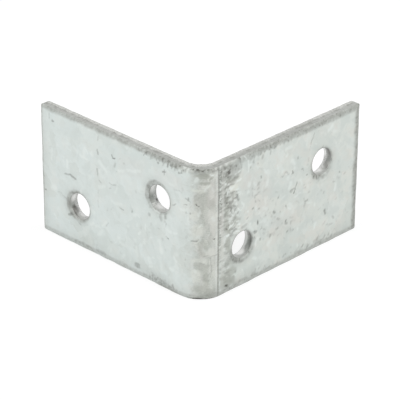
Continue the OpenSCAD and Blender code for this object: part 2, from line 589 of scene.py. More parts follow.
LIGHT_MARKS = flecks(
    (-32.0, 16.4, -32.0, 14.8, 0.28, 0.5), (-27.4, 20.2, -26.6, 19.5, 0.25, 0.5),
    (-23.7, 19.0, -21.9, 17.5, 0.42, 0.45), (-35.9, 17.1, -36.0, 14.9, 0.28, 0.4),
    (-35.9, 4.3, -35.2, 3.4, 0.28, 0.4), (-23.1, 6.5, -22.1, 7.6, 0.28, 0.4),
    (-14.0, 8.3, -13.5, 8.9, 0.22, 0.5), (-12.2, 10.6, -12.2, 9.8, 0.18, 0.5),
    (-18.9, 18.9, -13.3, 20.7, 0.3, 0.4), (-18.6, 17.8, -16.2, 18.4, 0.45, 0.25),
    (-21.9, 17.5, -21.5, 16.6, 0.2, 0.3),
    (-7.0, 12.0, -6.0, 11.7, 0.33, 0.4), (10.4, 23.8, 10.4, 21.6, 0.15, 0.6),
    (-20.6, 12.2, -18.2, 12.5, 0.4, 0.36), (-26.3, 5.6, -25.4, 6.2, 0.34, 0.42),
    (-16.7, 8.9, -16.5, 8.9, 0.36, 0.4),
    (-12.3, 10.8, -12.3, 10.0, 0.24, 0.5), (-5.3, 11.6, -4.5, 11.9, 0.3, 0.4),
    (-2.1, 16.8, -2.1, 14.7, 0.2, 0.42),
    (-3.8, 17.0, -3.0, 17.0, 0.34, 0.4), (-18.6, 4.8, -17.4, 4.7, 0.34, 0.36),
    (-14.4, 5.4, -14.4, 3.9, 0.4, 0.36),
    (-8.5, 4.9, -8.4, 3.5, 0.4, 0.32), (-5.3, 7.1, -4.6, 6.5, 0.3, 0.45),
    (-10.4, 5.1, -10.3, 5.1, 0.26, 0.45),
    (1.6, 24.0, 2.1, 23.8, 0.21, 0.7), (7.2, 22.2, 8.5, 22.6, 0.16, 0.6), (7.9, 19.8, 9.0, 17.8, 0.13, 0.4),
    (7.0, 3.1, 7.5, 2.6, 0.16, 0.5), (9.6, 24.8, 9.9, 24.2, 0.13, 0.5), (14.7, 14.8, 15.2, 13.6, 0.38, 0.4),
    (20.5, 11.1, 21.4, 10.6, 0.19, 0.5), (25.7, 10.2, 26.7, 9.8, 0.19, 0.5),
    (17.7, 20.4, 18.0, 19.0, 0.21, 0.5),
)


@dataclass(frozen=True)
class Scatter:
    """A field of small faint marks: its box on the blank, their count and strength, and how they run.

    Their headings are in radians from the along direction and lie about the field's own, by the spread.
    The widest is the largest half width.
    """

    low: tuple[float, float]
    high: tuple[float, float]
    count: int
    strength: float
    longest: float = 1.6
    heading: float = 0.7
    spread: float = 0.9
    widest: float = 0.3
    kind: MarkKind = MarkKind.SCUFF


SCATTERS = (
    Scatter((11.5, 6.0), (26.0, 18.5), 90, 0.4, 0.6, 0.2, 1.5, 0.3),
    Scatter((9.0, 2.0), (37.0, 23.5), 70, 0.26, 0.7, 0.2, 1.5, 0.32),
    Scatter((14.0, 2.0), (38.0, 12.0), 40, 0.26, 0.5, 0.0, 1.6, 0.32),
    Scatter((-37.5, 2.5), (-3.0, 23.5), 40, 0.18, 1.2, 0.7, 1.4),
    Scatter((-12.0, 9.0), (-2.5, 21.0), 20, 0.4, 0.8),
    Scatter((5.2, 13.5), (8.2, 20.0), 30, 0.34, 1.0, -0.15, 0.25, 0.3),
    Scatter((3.8, 21.5), (8.2, 24.6), 24, 0.26, 0.7, 0.0, 0.8, 0.3),
    Scatter((4.8, 1.0), (7.4, 13.0), 24, 0.26, 1.0, -0.1, 0.6, 0.4),
    Scatter((6.0, 22.9), (17.0, 24.7), 36, 0.36, 0.8, 1.4, 0.4, 0.24),
    Scatter((-14.0, 23.6), (-3.0, 24.9), 40, 0.4, 0.8, 1.4, 0.4, 0.24),
    Scatter((-3.0, 3.0), (3.0, 24.0), 30, 0.2, 1.0, 1.2, 0.5, 0.3),
    Scatter((-12.0, 0.4), (-4.5, 1.4), 40, 0.36, 0.7, 1.3, 0.5, 0.24),
    Scatter((5.0, 12.0), (8.0, 19.5), 56, 0.55, 0.6, -0.1, 0.4, 0.22),
    Scatter((9.5, 4.0), (33.0, 23.0), 90, 0.42, 1.3, 0.9, 1.2, 0.5, MarkKind.FLECK),
    Scatter((-37.0, 3.0), (-4.0, 21.0), 70, 0.38, 1.8, 0.9, 0.9, 0.6, MarkKind.FLECK),
    Scatter((5.2, 11.0), (8.4, 21.0), 60, 0.85, 0.8, -0.1, 0.35, 0.22, MarkKind.FLECK),
    Scatter((-5.5, 2.0), (2.6, 23.5), 44, 0.34, 1.2, 1.3, 0.5, 0.34, MarkKind.FLECK),
    Scatter((28.0, 3.0), (37.5, 23.0), 10, 0.26, 0.8, 0.5, 1.5, 0.26),
    Scatter((12.0, 0.7), (34.0, 2.0), 50, 0.34, 0.9, 1.2, 0.6, 0.26),
    Scatter((12.0, 1.2), (34.0, 2.4), 24, 0.36, 0.9, 1.2, 0.6, 0.3, MarkKind.FLECK),
    Scatter((-31.0, 1.5), (-8.0, 10.0), 24, 0.3, 1.1, 0.9, 0.9, 0.4, MarkKind.FLECK),
    Scatter((-34.0, 4.0), (-13.0, 21.0), 16, 0.3, 0.8, 0.5, 1.5, 0.3),
    Scatter((8.6, 14.0), (13.0, 23.0), 20, 0.34, 0.6, 0.2, 1.5, 0.3),
    Scatter((8.6, 13.0), (13.0, 22.5), 16, 0.5, 0.9, 0.6, 1.2, 0.4, MarkKind.FLECK),
)


def scattered_marks(seed: int = 71) -> tuple[Mark, ...]:
    """Draws the marks of all the fields.

    Args:
        seed: The seed of the random values.

    Returns:
        The marks, in the same order on every run.
    """
    dice = np.random.default_rng(seed)
    made = []
    for one in SCATTERS:
        for _ in range(one.count):
            start = dice.uniform(one.low, one.high)
            heading = dice.normal(one.heading, one.spread)
            run = one.longest * dice.random() * np.array([math.cos(heading), math.sin(heading)])
            half_width = dice.uniform(0.4, 1.0) * one.widest
            strength = one.strength * dice.uniform(0.35, 1.2)
            made.append(Mark(tuple(start), tuple(start + run), half_width, strength, one.kind))
    return tuple(made)


def all_marks() -> tuple[Mark, ...]:
    """Every mark of the outer face, with the listed ones first."""
    return LEG_Y_MARKS + FOLD_MARKS + LEG_X_MARKS + LIGHT_MARKS + scattered_marks()


class Tint(Enum):
    """What a soft patch does to the coat's colour, by its place in the tint that the shader reads."""

    PALE = 0
    DEEP = 1
    WARM = 2


@dataclass(frozen=True)
class Patch:
    """A soft patch of the outer face: its middle, half its length and height, its strength and its tint.

    A squareness of 2 would make it an ellipse, and more than 2 squares it.
    """

    centre: tuple[float, float]
    half: tuple[float, float]
    strength: float
    tint: Tint
    squareness: float = 2.6

    def cover(self, points: np.ndarray) -> np.ndarray:
        """How strongly the patch shows at each point of the blank.

        Args:
            points: Rows of along and height.

        Returns:
            From 0 to the patch's strength.
        """
        across = np.abs((points - self.centre) / self.half) ** self.squareness
        away = across.sum(axis=1) ** (1 / self.squareness)
        return self.strength * smooth_step(away, 1.25, 0.7)


def patches(tint: Tint, *rows: tuple[float, ...]) -> tuple[Patch, ...]:
    """Patches of one tint, each given as along, height, half length, half height and strength."""
    return tuple(Patch(row[0:2], row[2:4], row[4], tint) for row in rows)


PATCHES = patches(
    Tint.PALE,
    (-0.5, 21.0, 1.2, 0.5, 0.6), (1.1, 21.8, 1.0, 0.45, 0.55), (-0.9, 16.3, 0.9, 1.0, 0.45),
    (2.0, 16.5, 0.9, 1.05, 0.3), (2.3, 15.9, 0.6, 0.35, 0.6), (2.3, 13.8, 0.6, 1.6, 0.25),
    (-0.5, 13.6, 1.2, 1.1, 0.4), (1.7, 9.1, 1.3, 0.75, 0.45), (-0.2, 7.8, 1.6, 0.45, 0.45),
    (-0.7, 4.9, 0.95, 1.2, 0.5), (2.2, 5.0, 0.6, 3.2, 0.2), (6.9, 19.9, 1.3, 0.7, 1.0),
    (8.2, 20.6, 0.6, 1.2, 0.35), (4.2, 9.5, 0.35, 2.4, 0.3),
) + patches(
    Tint.DEEP,
    (0.2, 23.9, 1.4, 0.45, 0.6), (0.8, 22.5, 1.1, 0.3, 0.65), (1.6, 23.2, 0.35, 0.3, 0.6),
    (0.15, 19.0, 1.25, 1.9, 0.34), (1.8, 18.5, 0.7, 0.95, 0.25), (0.7, 15.6, 0.6, 1.6, 0.2),
    (0.35, 10.2, 0.8, 1.5, 0.32), (0.3, 6.6, 1.4, 0.6, 0.34), (0.6, 5.8, 0.8, 0.5, 0.26),
    (1.0, 3.9, 0.4, 1.9, 0.45), (0.1, 2.2, 1.5, 0.8, 0.4), (1.2, 1.4, 1.6, 0.8, 0.3),
    (5.1, 15.6, 0.5, 3.6, 0.34), (6.5, 21.5, 1.5, 0.42, 0.5), (5.2, 20.3, 0.5, 0.8, 0.22),
    (6.3, 18.4, 1.6, 0.7, 0.32),
    (7.1, 13.4, 1.4, 0.9, 0.42), (5.8, 12.4, 0.9, 0.7, 0.55), (5.6, 9.6, 0.7, 1.4, 0.6),
    (6.4, 4.0, 1.3, 0.8, 0.5),
    (5.9, 2.2, 1.4, 0.9, 0.6), (4.6, 3.0, 0.8, 1.5, 0.4), (7.0, 6.0, 1.6, 0.9, 0.3),
    (-8.0, 7.5, 4.5, 4.0, 0.08), (-22.0, 3.0, 11.0, 1.6, 0.1),
    (-3.0, 8.0, 1.2, 7.0, 0.1), (20.5, 6.0, 7.0, 3.5, 0.06),
) + patches(
    Tint.WARM,
    (2.0, 20.0, 0.9, 2.6, 0.5), (2.0, 16.5, 0.9, 1.1, 0.4), (2.3, 13.8, 0.6, 1.7, 0.5),
    (1.7, 9.1, 1.3, 0.8, 0.4), (0.2, 9.2, 0.5, 0.9, 0.3), (3.9, 14.5, 0.45, 2.6, 0.4),
    (6.4, 21.2, 1.0, 0.5, 0.3), (-6.5, 21.5, 3.4, 1.5, 0.25), (-15.5, 20.5, 3.0, 2.0, 0.2),
    (13.5, 15.5, 3.0, 3.4, 0.25), (19.5, 8.6, 3.4, 2.2, 0.25), (11.0, 19.8, 2.0, 1.6, 0.25),
)


@dataclass(frozen=True)
class HoleWearAndShade:
    """The darker ring of coat round a hole, partly wear and partly painted shade of its rolled rim: how
    strong and wide it is, and the side on which it is more so.

    The strongest and the widest place are bearings in degrees. Soft is half the width of its border.
    """

    strength: float
    strength_swing: float
    strongest: float
    width: float
    width_swing: float
    widest: float
    soft: float

    def ring(self, bearing: np.ndarray) -> np.ndarray:
        """The ring's strength at bearings in radians."""
        return self.strength + self.strength_swing * np.cos(bearing - math.radians(self.strongest))

    def reach(self, bearing: np.ndarray) -> np.ndarray:
        """The ring's width at bearings in radians."""
        return self.width + self.width_swing * np.cos(bearing - math.radians(self.widest))


# Rings round the holes: partly worn zinc and partly painted shade of the rolled rims.
HOLE_WEAR_AND_SHADE = {
    "hole_y_end": HoleWearAndShade(0.76, 0.12, 225.0, 0.6, 0.14, 175.0, 0.42),
    "hole_y_fold": HoleWearAndShade(0.54, 0.12, 150.0, 0.72, 0.24, 110.0, 0.28),
    "hole_x_fold": HoleWearAndShade(0.48, 0.3, 235.0, 0.6, 0.35, 240.0, 0.4),
    "hole_x_end": HoleWearAndShade(0.44, 0.2, 225.0, 0.55, 0.34, 230.0, 0.45),
}


@dataclass(frozen=True)
class WallShading:
    """A patch on a hole's wall: painted shade where its strength is above 0, and a painted highlight where it
    is below 0.

    Its bearing and half angle are in degrees, and its depth and half depth in millimetres.
    """

    hole: str
    bearing: float
    half_angle: float
    depth: float
    half_depth: float
    strength: float

    def cover(self, bearing: np.ndarray, depth: np.ndarray) -> np.ndarray:
        """The patch's strength at places on its hole's wall."""
        turned = (bearing - self.bearing + 180) % 360 - 180
        return self.strength * bell(turned, 0.0, self.half_angle) * bell(depth, self.depth, self.half_depth)


# Painted shade and painted highlights on the holes' walls, in place of the light and shade that fall there.
WALL_SHADING = (
    WallShading("hole_y_end", 206.0, 12.0, 1.0, 0.4, 0.85),
    WallShading("hole_y_end", 226.0, 16.0, 1.3, 0.6, 0.8),
    WallShading("hole_y_end", 226.0, 26.0, 0.4, 0.5, 0.95),
    WallShading("hole_y_end", 252.0, 20.0, 1.5, 0.7, -0.45),
    WallShading("hole_y_end", 265.0, 36.0, 0.15, 0.35, 0.6),
    WallShading("hole_y_end", 158.0, 26.0, 1.0, 0.9, -0.8),
    WallShading("hole_y_end", 195.0, 50.0, 0.0, 0.2, 0.6),
    WallShading("hole_y_fold", 216.0, 8.0, 1.65, 0.25, 1.3),
    WallShading("hole_y_fold", 206.0, 12.0, 1.0, 0.8, 0.2),
    WallShading("hole_y_fold", 248.0, 22.0, 1.4, 0.9, -0.6),
    WallShading("hole_y_fold", 122.0, 24.0, 0.7, 0.7, -2.0),
    WallShading("hole_y_fold", 168.0, 22.0, 1.1, 0.9, -0.7),
    WallShading("hole_y_fold", 195.0, 55.0, 0.0, 0.22, 1.0),
    WallShading("hole_x_fold", 10.0, 60.0, 0.4, 0.75, 0.8),
    WallShading("hole_x_fold", 292.0, 22.0, 1.5, 0.8, -1.0),
    WallShading("hole_x_fold", 20.0, 40.0, 1.85, 0.5, -2.0),
    WallShading("hole_x_fold", 335.0, 20.0, 1.8, 0.5, -0.6),
    WallShading("hole_x_fold", 265.0, 50.0, 0.1, 0.4, 0.6),
    WallShading("hole_x_end", 60.0, 36.0, 0.6, 1.0, 1.25),
    WallShading("hole_x_end", 10.0, 26.0, 0.6, 0.8, 0.5),
    WallShading("hole_x_end", 328.0, 20.0, 1.1, 0.8, 0.72),
    WallShading("hole_x_end", 312.0, 14.0, 0.5, 0.7, 0.5),
    WallShading("hole_x_end", 285.0, 24.0, 1.4, 0.8, -0.6),
    WallShading("hole_x_end", 24.0, 34.0, 1.85, 0.45, -1.7),
    WallShading("hole_x_end", 262.0, 46.0, 0.1, 0.4, 0.55),
)


class Side(Enum):
    """The part of the strip's skin that a face belongs to, by its place among the material slots."""

    COAT = 0
    SHEARED = 1
    PUNCHED = 2


@dataclass(frozen=True)
class Cut:
    """A cut edge in section: the outer face rolls over towards it, it runs clean, and then it tears.

    The clean part ends at a wavering depth and has faint stripes of the blade. The torn part leans away,
    is rough, and ends in a burr on the inner face. The seed is that of its noise.
    """

    seed: int
    roll_width: float
    roll_depth: float
    clean: float = 1.1
    clean_waver: float = 0.16
    lean: float = 0.12
    stripe: float = 0.008
    tear: float = 0.04
    burr: float = 0.06

    def roll(self, reach: np.ndarray, wide: np.ndarray) -> np.ndarray:
        """Depth to which the outer face has rolled over.

        Args:
            reach: Distance from the cut.
            wide: Share of the full width that the rolled band has here.

        Returns:
            The depth under the flat face.
        """
        radius = (self.roll_width**2 + self.roll_depth**2) / (2 * self.roll_depth)
        part = np.clip(self.roll_width - reach / wide, 0.0, self.roll_width)
        return (radius - np.sqrt(radius**2 - part**2)) * wide

    def noises(self) -> list[Grain]:
        """The noise of the clean part's end, the blade's stripes, and the torn part's chips and lumps."""
        pitches = ((1.3, 1.0), (0.22, 9.0), (0.4, 0.25), (1.1, 0.5))
        return [Grain(self.seed + step, *pitch) for step, pitch in enumerate(pitches)]


@dataclass
class Skin:
    """The strip's skin while it is being made: its points, its faces and what the shaders read."""

    blank: list[np.ndarray] = field(default_factory=list)
    worn_and_shaded: list[np.ndarray] = field(default_factory=list)
    stain_and_shade: list[np.ndarray] = field(default_factory=list)
    tint: list[np.ndarray] = field(default_factory=list)
    faces: list[tuple[Side, np.ndarray]] = field(default_factory=list)
    creases: list[np.ndarray] = field(default_factory=list)

    def add_points(
        self,
        blank: np.ndarray,
        worn_and_shaded: Numbers,
        stain_and_shade: Numbers,
        tint: Union[np.ndarray, Sequence[float]] = (0.0, 0.0, 0.0),
    ) -> np.ndarray:
        """Adds points and returns their numbers.

        Args:
            blank: Rows of along, height and depth.
            worn_and_shaded: How dark the bands along the cuts are: partly worn zinc, and partly painted
                shade.
            stain_and_shade: How dark, above 0, or light, below 0, it is: the marks, and on holes' walls
                painted shade.
            tint: The strength of the patches of each Tint.

        Returns:
            The number of each new point.
        """
        start = sum(len(part) for part in self.blank)
        self.blank.append(blank)
        self.worn_and_shaded.append(np.broadcast_to(worn_and_shaded, len(blank)))
        self.stain_and_shade.append(np.broadcast_to(stain_and_shade, len(blank)))
        self.tint.append(np.broadcast_to(tint, blank.shape))
        return start + np.arange(len(blank))

    def add_band(self, near: np.ndarray, far: np.ndarray, side: Side) -> None:
        """Joins two rings of points by faces.

        Args:
            near: The numbers of the first ring's points.
            far: The numbers of the second ring's points, as many or half as many.
            side: The part of the skin that the faces belong to.
        """
        near_next, far_next = np.roll(near, -1), np.roll(far, -1)
        if len(near) == len(far):
            self.faces.append((side, np.column_stack([near, far, far_next, near_next])))
            return
        first, middle, last = near[::2], near[1::2], near_next[1::2]
        self.faces.append((side, np.column_stack([first, far, middle])))
        self.faces.append((side, np.column_stack([middle, far, far_next])))
        self.faces.append((side, np.column_stack([middle, far_next, last])))


@dataclass
class Brace:
    """The brace itself: the strip as it was sheared, punched, folded and marked.

    The depths and heights are those of the marks, the waves and ripples of the whole face, the fold's
    creases, the groove that the press left and the lip beside it, the pits and smears past it, and the
    bulge of the fold at the two long edges. The wall rows are the bands of faces on the wall of a cut.
    """

    strip: Strip
    shear: Cut = Cut(seed=70, roll_width=0.95, roll_depth=0.35, lean=0.02)
    punch: Cut = Cut(seed=80, roll_width=0.7, roll_depth=0.25, tear=0.03, burr=0.04)
    wall_rows: int = 10
    mark_depth: float = 0.035
    wave_depth: float = 0.010
    ripple_depth: float = 0.005
    crease_depth: float = 0.018
    fine_crease_depth: float = 0.007
    groove_depth: float = 0.05
    lip_height: float = 0.02
    pit_depth: float = 0.05
    smear_depth: float = 0.010
    top_bulge: float = 0.10
    bottom_bulge: float = 0.03
    marks: tuple[Mark, ...] = field(default_factory=all_marks)
    skin: Skin = field(default_factory=Skin)

    @staticmethod
    def band(reach: np.ndarray, width: Numbers, soft: float, strength: Numbers) -> np.ndarray:
        """A band along a cut, dark from the cut to its width and soft where it ends."""
        return strength * smooth_step(reach - width, soft, -soft)

    def wear_and_shade(self, points: np.ndarray) -> np.ndarray:
        """How dark the bands along the cuts are: partly worn zinc, and partly painted shade of the rolled
        edges.

        Args:
            points: Rows of along and height.

        Returns:
            From 0, untouched, to about 1.
        """
        bands = self.top_bands(points) + self.bottom_bands(points) + self.end_bands(points)
        for hole in self.strip.holes:
            bands += self.hole_bands(hole, points)
        return np.max(bands, axis=0)

    def top_bands(self, points: np.ndarray) -> list[np.ndarray]:
        """The top band, partly worn zinc and partly painted shade, ragged beside the fold; and a wider one
        past the press line.

        Args:
            points: Rows of along and height.

        Returns:
            The strength of each band at each point.
        """
        along, height = points.T
        reach = self.strip.high[1] - height
        slow, blots = Noise.SLOW_WEAR_AND_SHADE.at(along, height), Noise.BLOTS.at(along, height)
        streak = Noise.THIN_STREAKS.at(along, height) + 0.6 * Noise.WIDE_STREAKS.at(along, height)
        ragged = np.clip(streak, -0.7, 1.2) * (0.12 + bell(along, -6.0, 5.0) + bell(along, 13.0, 9.0))
        leg_x = smooth_step(along, 1.0, 7.0)
        width = 0.62 + 0.38 * leg_x + 0.22 * bell(along, -8.0, 5.0) + 0.07 * slow + 0.3 * ragged
        off_fold = smooth_step(np.abs(along), 2.0, 5.0)
        rim = 0.26 * off_fold * smooth_step(reach, 0.75, 0.2)
        worn_and_shaded = 0.58 + 0.05 * blots + rim * (1 + 0.5 * bell(along, 22.0, 9.0)) - 0.2 * bell(along, 7.5, 3.5)
        dragged_end = along + 0.4 * Noise.SIDE_WEAR_AND_SHADE.at(along, height)
        dragged = 0.38 * smooth_step(along, 3.2, 6.2) * smooth_step(dragged_end, 8.8, 8.1)
        return [
            self.band(reach, width, soft=0.32, strength=worn_and_shaded),
            self.band(reach, 2.9 + 0.2 * slow, soft=0.25, strength=dragged),
        ]

    def bottom_bands(self, points: np.ndarray) -> list[np.ndarray]:
        """The band over the bottom edge, its darkest stretch on leg Y, and the haze above both: partly wear,
        partly painted shade.

        Args:
            points: Rows of along and height.

        Returns:
            The strength of each band at each point.
        """
        along, height = points.T
        slow, blots = Noise.SLOW_WEAR_AND_SHADE.at(along, height), Noise.BLOTS.at(along, height)
        near_fold = bell(along, -8.5, 4.5) + bell(along, 8.0, 6.0)
        leg_x = smooth_step(along, 1.0, 7.0)
        swell = 0.3 * bell(along, 8.0, 5.0) - 0.15 * bell(along, -6.5, 4.0)
        width = 1.2 + 0.15 * slow + 0.3 * near_fold * blots + swell
        worn_and_shaded = 0.45 + 0.06 * leg_x * near_fold + 0.2 * near_fold * blots
        return [
            self.band(height, width, soft=0.35, strength=worn_and_shaded),
            self.band(height, 0.75, soft=0.3, strength=0.8 * bell(along, -6.5, 4.5)),
            self.band(height, 2.3 + 0.5 * slow, soft=1.2, strength=0.12 + 0.2 * near_fold),
        ]

    def end_bands(self, points: np.ndarray) -> list[np.ndarray]:
        """The bands at the ends of the two legs, the wider one on leg X: partly wear, partly painted shade of
        the rolled ends.

        Args:
            points: Rows of along and height.

        Returns:
            The strength of each band at each point.
        """
        along, height = points.T
        side, blots = Noise.SIDE_WEAR_AND_SHADE.at(along, height), Noise.BLOTS.at(along, height)
        from_y, from_x = along - self.strip.low[0], self.strip.high[0] - along
        return [
            self.band(from_y, 0.5 + 0.1 * side, soft=0.5, strength=1.0),
            self.band(from_y, 1.8 + 0.3 * side, soft=1.2, strength=0.14),
            self.band(from_x, 1.35 + 0.22 * side, soft=0.6, strength=0.8 + 0.1 * blots),
        ]

    def hole_bands(self, hole: Hole, points: np.ndarray) -> list[np.ndarray]:
        """The ring round a hole, its dark rim and the haze round it: partly wear, partly painted shade of the
        rolled rim.

        Args:
            hole: The hole.
            points: Rows of along and height.

        Returns:
            The strength of each band at each point.
        """
        side, blots = Noise.SIDE_WEAR_AND_SHADE.at(*points.T), Noise.BLOTS.at(*points.T)
        look = HOLE_WEAR_AND_SHADE[hole.name]
        bearing, reach = hole.bearing(points), hole.reach(points)
        ring, width = look.ring(bearing) * (1 + 0.3 * blots), look.reach(bearing) + 0.08 * side
        return [
            self.band(reach, width, soft=look.soft, strength=ring),
            self.band(reach, 0.13, soft=0.12, strength=0.5 + 0.7 * ring),
            self.band(reach, width + 0.5, soft=0.8, strength=0.3 * ring),
        ]

    @staticmethod
    def ragged(points: np.ndarray, sway: float, jitter: float) -> np.ndarray:
        """Moves places about by noise, so that what is drawn with them has ragged borders.

        Args:
            points: Rows of along and height.
            sway: How far the slow noise moves them.
            jitter: How far the quick noise moves them.

        Returns:
            The moved rows.
        """
        slow = np.column_stack([grain.at(*points.T) for grain in Noise.SWAY])
        quick = np.column_stack([grain.at(*points.T) for grain in Noise.JITTER])
        return points + sway * slow + jitter * quick

    def stain_at(self, points: np.ndarray) -> np.ndarray:
        """Sums up the marks: the darkest scuff and the lightest fleck at each point.

        Args:
            points: Rows of along and height.

        Returns:
            The stain, above 0 where it is dark and below 0 where it is light.
        """
        places = self.ragged(points, 0.16, 0.09)
        covers = [mark.cover(places) for mark in self.marks]
        return np.max(covers, axis=0) + np.min(covers, axis=0)

    def tint_at(self, points: np.ndarray) -> np.ndarray:
        """Sums up the patches: the strongest of each tint at each point.

        Args:
            points: Rows of along and height.

        Returns:
            Rows with a strength for each Tint.
        """
        places = self.ragged(points, 0.3, 0.12)
        covers = [[one.cover(places) for one in PATCHES if one.tint is tint] for tint in Tint]
        return np.column_stack([np.max(rows, axis=0) for rows in covers])

    def on_fold(self, along: np.ndarray) -> np.ndarray:
        """1 over the fold, and 0 on the flat of the two legs."""
        return smooth_step(np.abs(along), self.strip.half_fold + 0.5, self.strip.half_fold - 1.0)

    def relief(self, points: np.ndarray, stain_and_shade: np.ndarray) -> np.ndarray:
        """Depth of everything on the outer face but its rolled edges.

        Args:
            points: Rows of along and height.
            stain_and_shade: The marks' strength.

        Returns:
            The depth under the flat face, below 0 where the zinc stands proud.
        """
        along, height = points.T
        past = along - PRESS_LINE
        waves = self.wave_depth * Noise.WAVES.at(along, height)
        ripples = self.ripple_depth * Noise.RIPPLES.at(along, height)
        creases = self.crease_depth * Noise.CREASES.at(along, height)
        creases += self.fine_crease_depth * Noise.FINE_CREASES.at(along, height)
        from_groove = past - 0.05 * Noise.GROOVE.at(along, height)
        groove = self.groove_depth * bell(from_groove, 0.0, 0.16)
        lip = self.lip_height * bell(from_groove, -0.32, 0.18)
        pits = np.clip(Noise.PITS.at(along, height) - 0.25, 0.0, None) * bell(past, 0.55, 0.35)
        dragged = smooth_step(past, 0.5, 1.3) * smooth_step(past, 5.5, 3.9)
        dragged *= 0.35 + 0.65 * height / self.strip.width
        smears = self.smear_depth * dragged * Noise.DRAG.at(along, height)
        nicks = self.mark_depth * np.clip(stain_and_shade, 0.0, None)
        on_fold = self.on_fold(along) * creases
        return waves + ripples + on_fold + groove - lip + self.pit_depth * pits + smears + nicks

    def bulge(self, blank: np.ndarray) -> np.ndarray:
        """How far the fold's squeezed inner side pushes out of the long edges, and its outer side draws in.

        Args:
            blank: Rows of along, height and depth.

        Returns:
            The change of height.
        """
        along, height, depth = blank.T
        at_fold = smooth_step(np.abs(along), self.strip.half_fold * 1.2, 0.0)
        at_top = smooth_step(height, self.strip.width - 2.5, self.strip.width)
        at_bottom = smooth_step(height, 2.5, 0.0)
        squeezed = at_fold * (2 * depth / self.strip.sheet - 1)
        return squeezed * (self.top_bulge * at_top - self.bottom_bulge * at_bottom)

    def add_outer_face(self, net: Net) -> np.ndarray:
        """Adds the outer face, with its rolled edges, its marks and the fold's creases.

        Args:
            net: The net at its full count of lines.

        Returns:
            The number of each point.
        """
        points = self.strip.round_corners(net.points)
        stain_and_shade = self.stain_at(points)
        wide = 1 + 0.16 * Noise.ROLL.at(*points.T) + 0.05 * Noise.ROLL_NICKS.at(*points.T)
        rolled = self.shear.roll(self.strip.edge_reach(points), wide)
        rolled += self.punch.roll(self.strip.hole_reach(points), 0.5 + 0.5 * wide)
        depth = rolled + self.relief(points, stain_and_shade)
        blank = np.column_stack([points, depth])
        numbers = self.skin.add_points(blank, self.wear_and_shade(points), stain_and_shade, self.tint_at(points))
        self.skin.faces.append((Side.COAT, numbers[net.quads]))
        return numbers

    def add_inner_face(self, net: Net) -> np.ndarray:
        """Adds the inner face, whose edges are torn and stand up in a burr.

        Args:
            net: The net at half its count of lines.

        Returns:
            The number of each point.
        """
        points = self.strip.round_corners(net.points)
        along, height = points.T
        edge, rim = self.strip.edge_reach(points), self.strip.hole_reach(points)
        lean = np.where(edge < rim, self.shear.lean, self.punch.lean)
        moved = self.strip.lean_back(points, lean + self.punch.tear * Noise.TORN_RIM.at(along, height))
        waves = 0.012 * Noise.INNER_WAVES.at(along, height)
        creases = 0.02 * self.on_fold(along) * Noise.INNER_CREASES.at(along, height)
        at_cut = 0.01
        burr = self.shear.burr * (edge < at_cut) + self.punch.burr * (rim < at_cut)
        burr = burr * (0.6 + 0.4 * Noise.BURR.at(along, height))
        depth = self.strip.sheet + waves + creases + burr
        worn_width = 0.25 + 0.15 * Noise.INNER_WEAR.at(along, height)
        worn_and_shaded = self.band(np.minimum(edge, rim), worn_width, soft=0.25, strength=0.6)
        numbers = self.skin.add_points(np.column_stack([moved, depth]), worn_and_shaded, 0.0)
        self.skin.faces.append((Side.COAT, numbers[net.quads[:, ::-1]]))
        return numbers

    def add_wall(self, outer: np.ndarray, inner: np.ndarray, flat: np.ndarray, cut: Cut, side: Side) -> None:
        """Adds the wall of a cut, from its rolled rim to its burr.

        Args:
            outer: Numbers of the points round the rim on the outer face.
            inner: Numbers of the points round the burr on the inner face, half as many.
            flat: Rows of along and height of the rim's points.
            cut: The cut's section.
            side: The part of the skin that the wall is.
        """
        rim_depth = np.vstack(self.skin.blank)[outer, 2]
        step = np.hypot(*(np.roll(flat, -1, axis=0) - flat).T)
        run = np.cumsum(step) - step
        waver, stripes, chips, lumps = cut.noises()
        clean = cut.clean + cut.clean_waver * waver.at(run, 0.0)
        near = outer
        for row in range(1, self.wall_rows):
            share = 2 * row / self.wall_rows
            if share <= 1:
                depth = rim_depth + (clean - rim_depth) * share
                amount = cut.stripe * stripes.at(run, depth)
            else:
                depth = clean + (self.strip.sheet - clean) * (share - 1)
                rough = chips.at(run, depth) + 0.7 * lumps.at(run, depth)
                amount = cut.lean * (share - 1) + cut.tear * rough
            # The top edge's wall gets its streaks; a hole's wall gets painted shade and painted highlights.
            stain_and_shade = self.grazed(flat, depth) if side is Side.SHEARED else self.wall_shade_and_highlights(flat, depth)
            blank = np.column_stack([self.strip.lean_back(flat, amount), depth])
            far = self.skin.add_points(blank, 1.0, stain_and_shade)
            self.skin.add_band(near, far, side)
            near = far
        self.skin.add_band(near, inner, side)
        self.skin.creases += [outer, inner]

    def grazed(self, flat: np.ndarray, depth: np.ndarray) -> np.ndarray:
        """The dull streaks that the shear left on the top edge's wall: a high one, and a low one on leg X.

        Args:
            flat: Rows of along and height of the wall's points.
            depth: Their depth.

        Returns:
            How dark each point is.
        """
        along, height = flat.T
        at_top = smooth_step(height, self.strip.width - 0.5, self.strip.width - 0.2)
        before_end = smooth_step(along, 32.0, 26.0)
        high_streak = smooth_step(along, -16.0, -6.0) * bell(depth, 0.35, 0.5)
        low_streak = smooth_step(along, 1.0, 6.0) * bell(depth, 1.4, 0.5)
        return at_top * before_end * (0.6 * high_streak + 0.44 * low_streak)

    def wall_shade_and_highlights(self, flat: np.ndarray, depth: np.ndarray) -> np.ndarray:
        """The painted shade and painted highlights on the wall of a hole.

        Args:
            flat: Rows of along and height of the wall's points.
            depth: Their depth.

        Returns:
            How dark, above 0, or light, below 0, each point is.
        """
        hole = min(self.strip.holes, key=lambda one: np.abs(one.reach(flat)).max())
        bearing = np.degrees(hole.bearing(flat))
        marks = [mark for mark in WALL_SHADING if mark.hole == hole.name]
        return np.sum([mark.cover(bearing, depth) for mark in marks], axis=0)

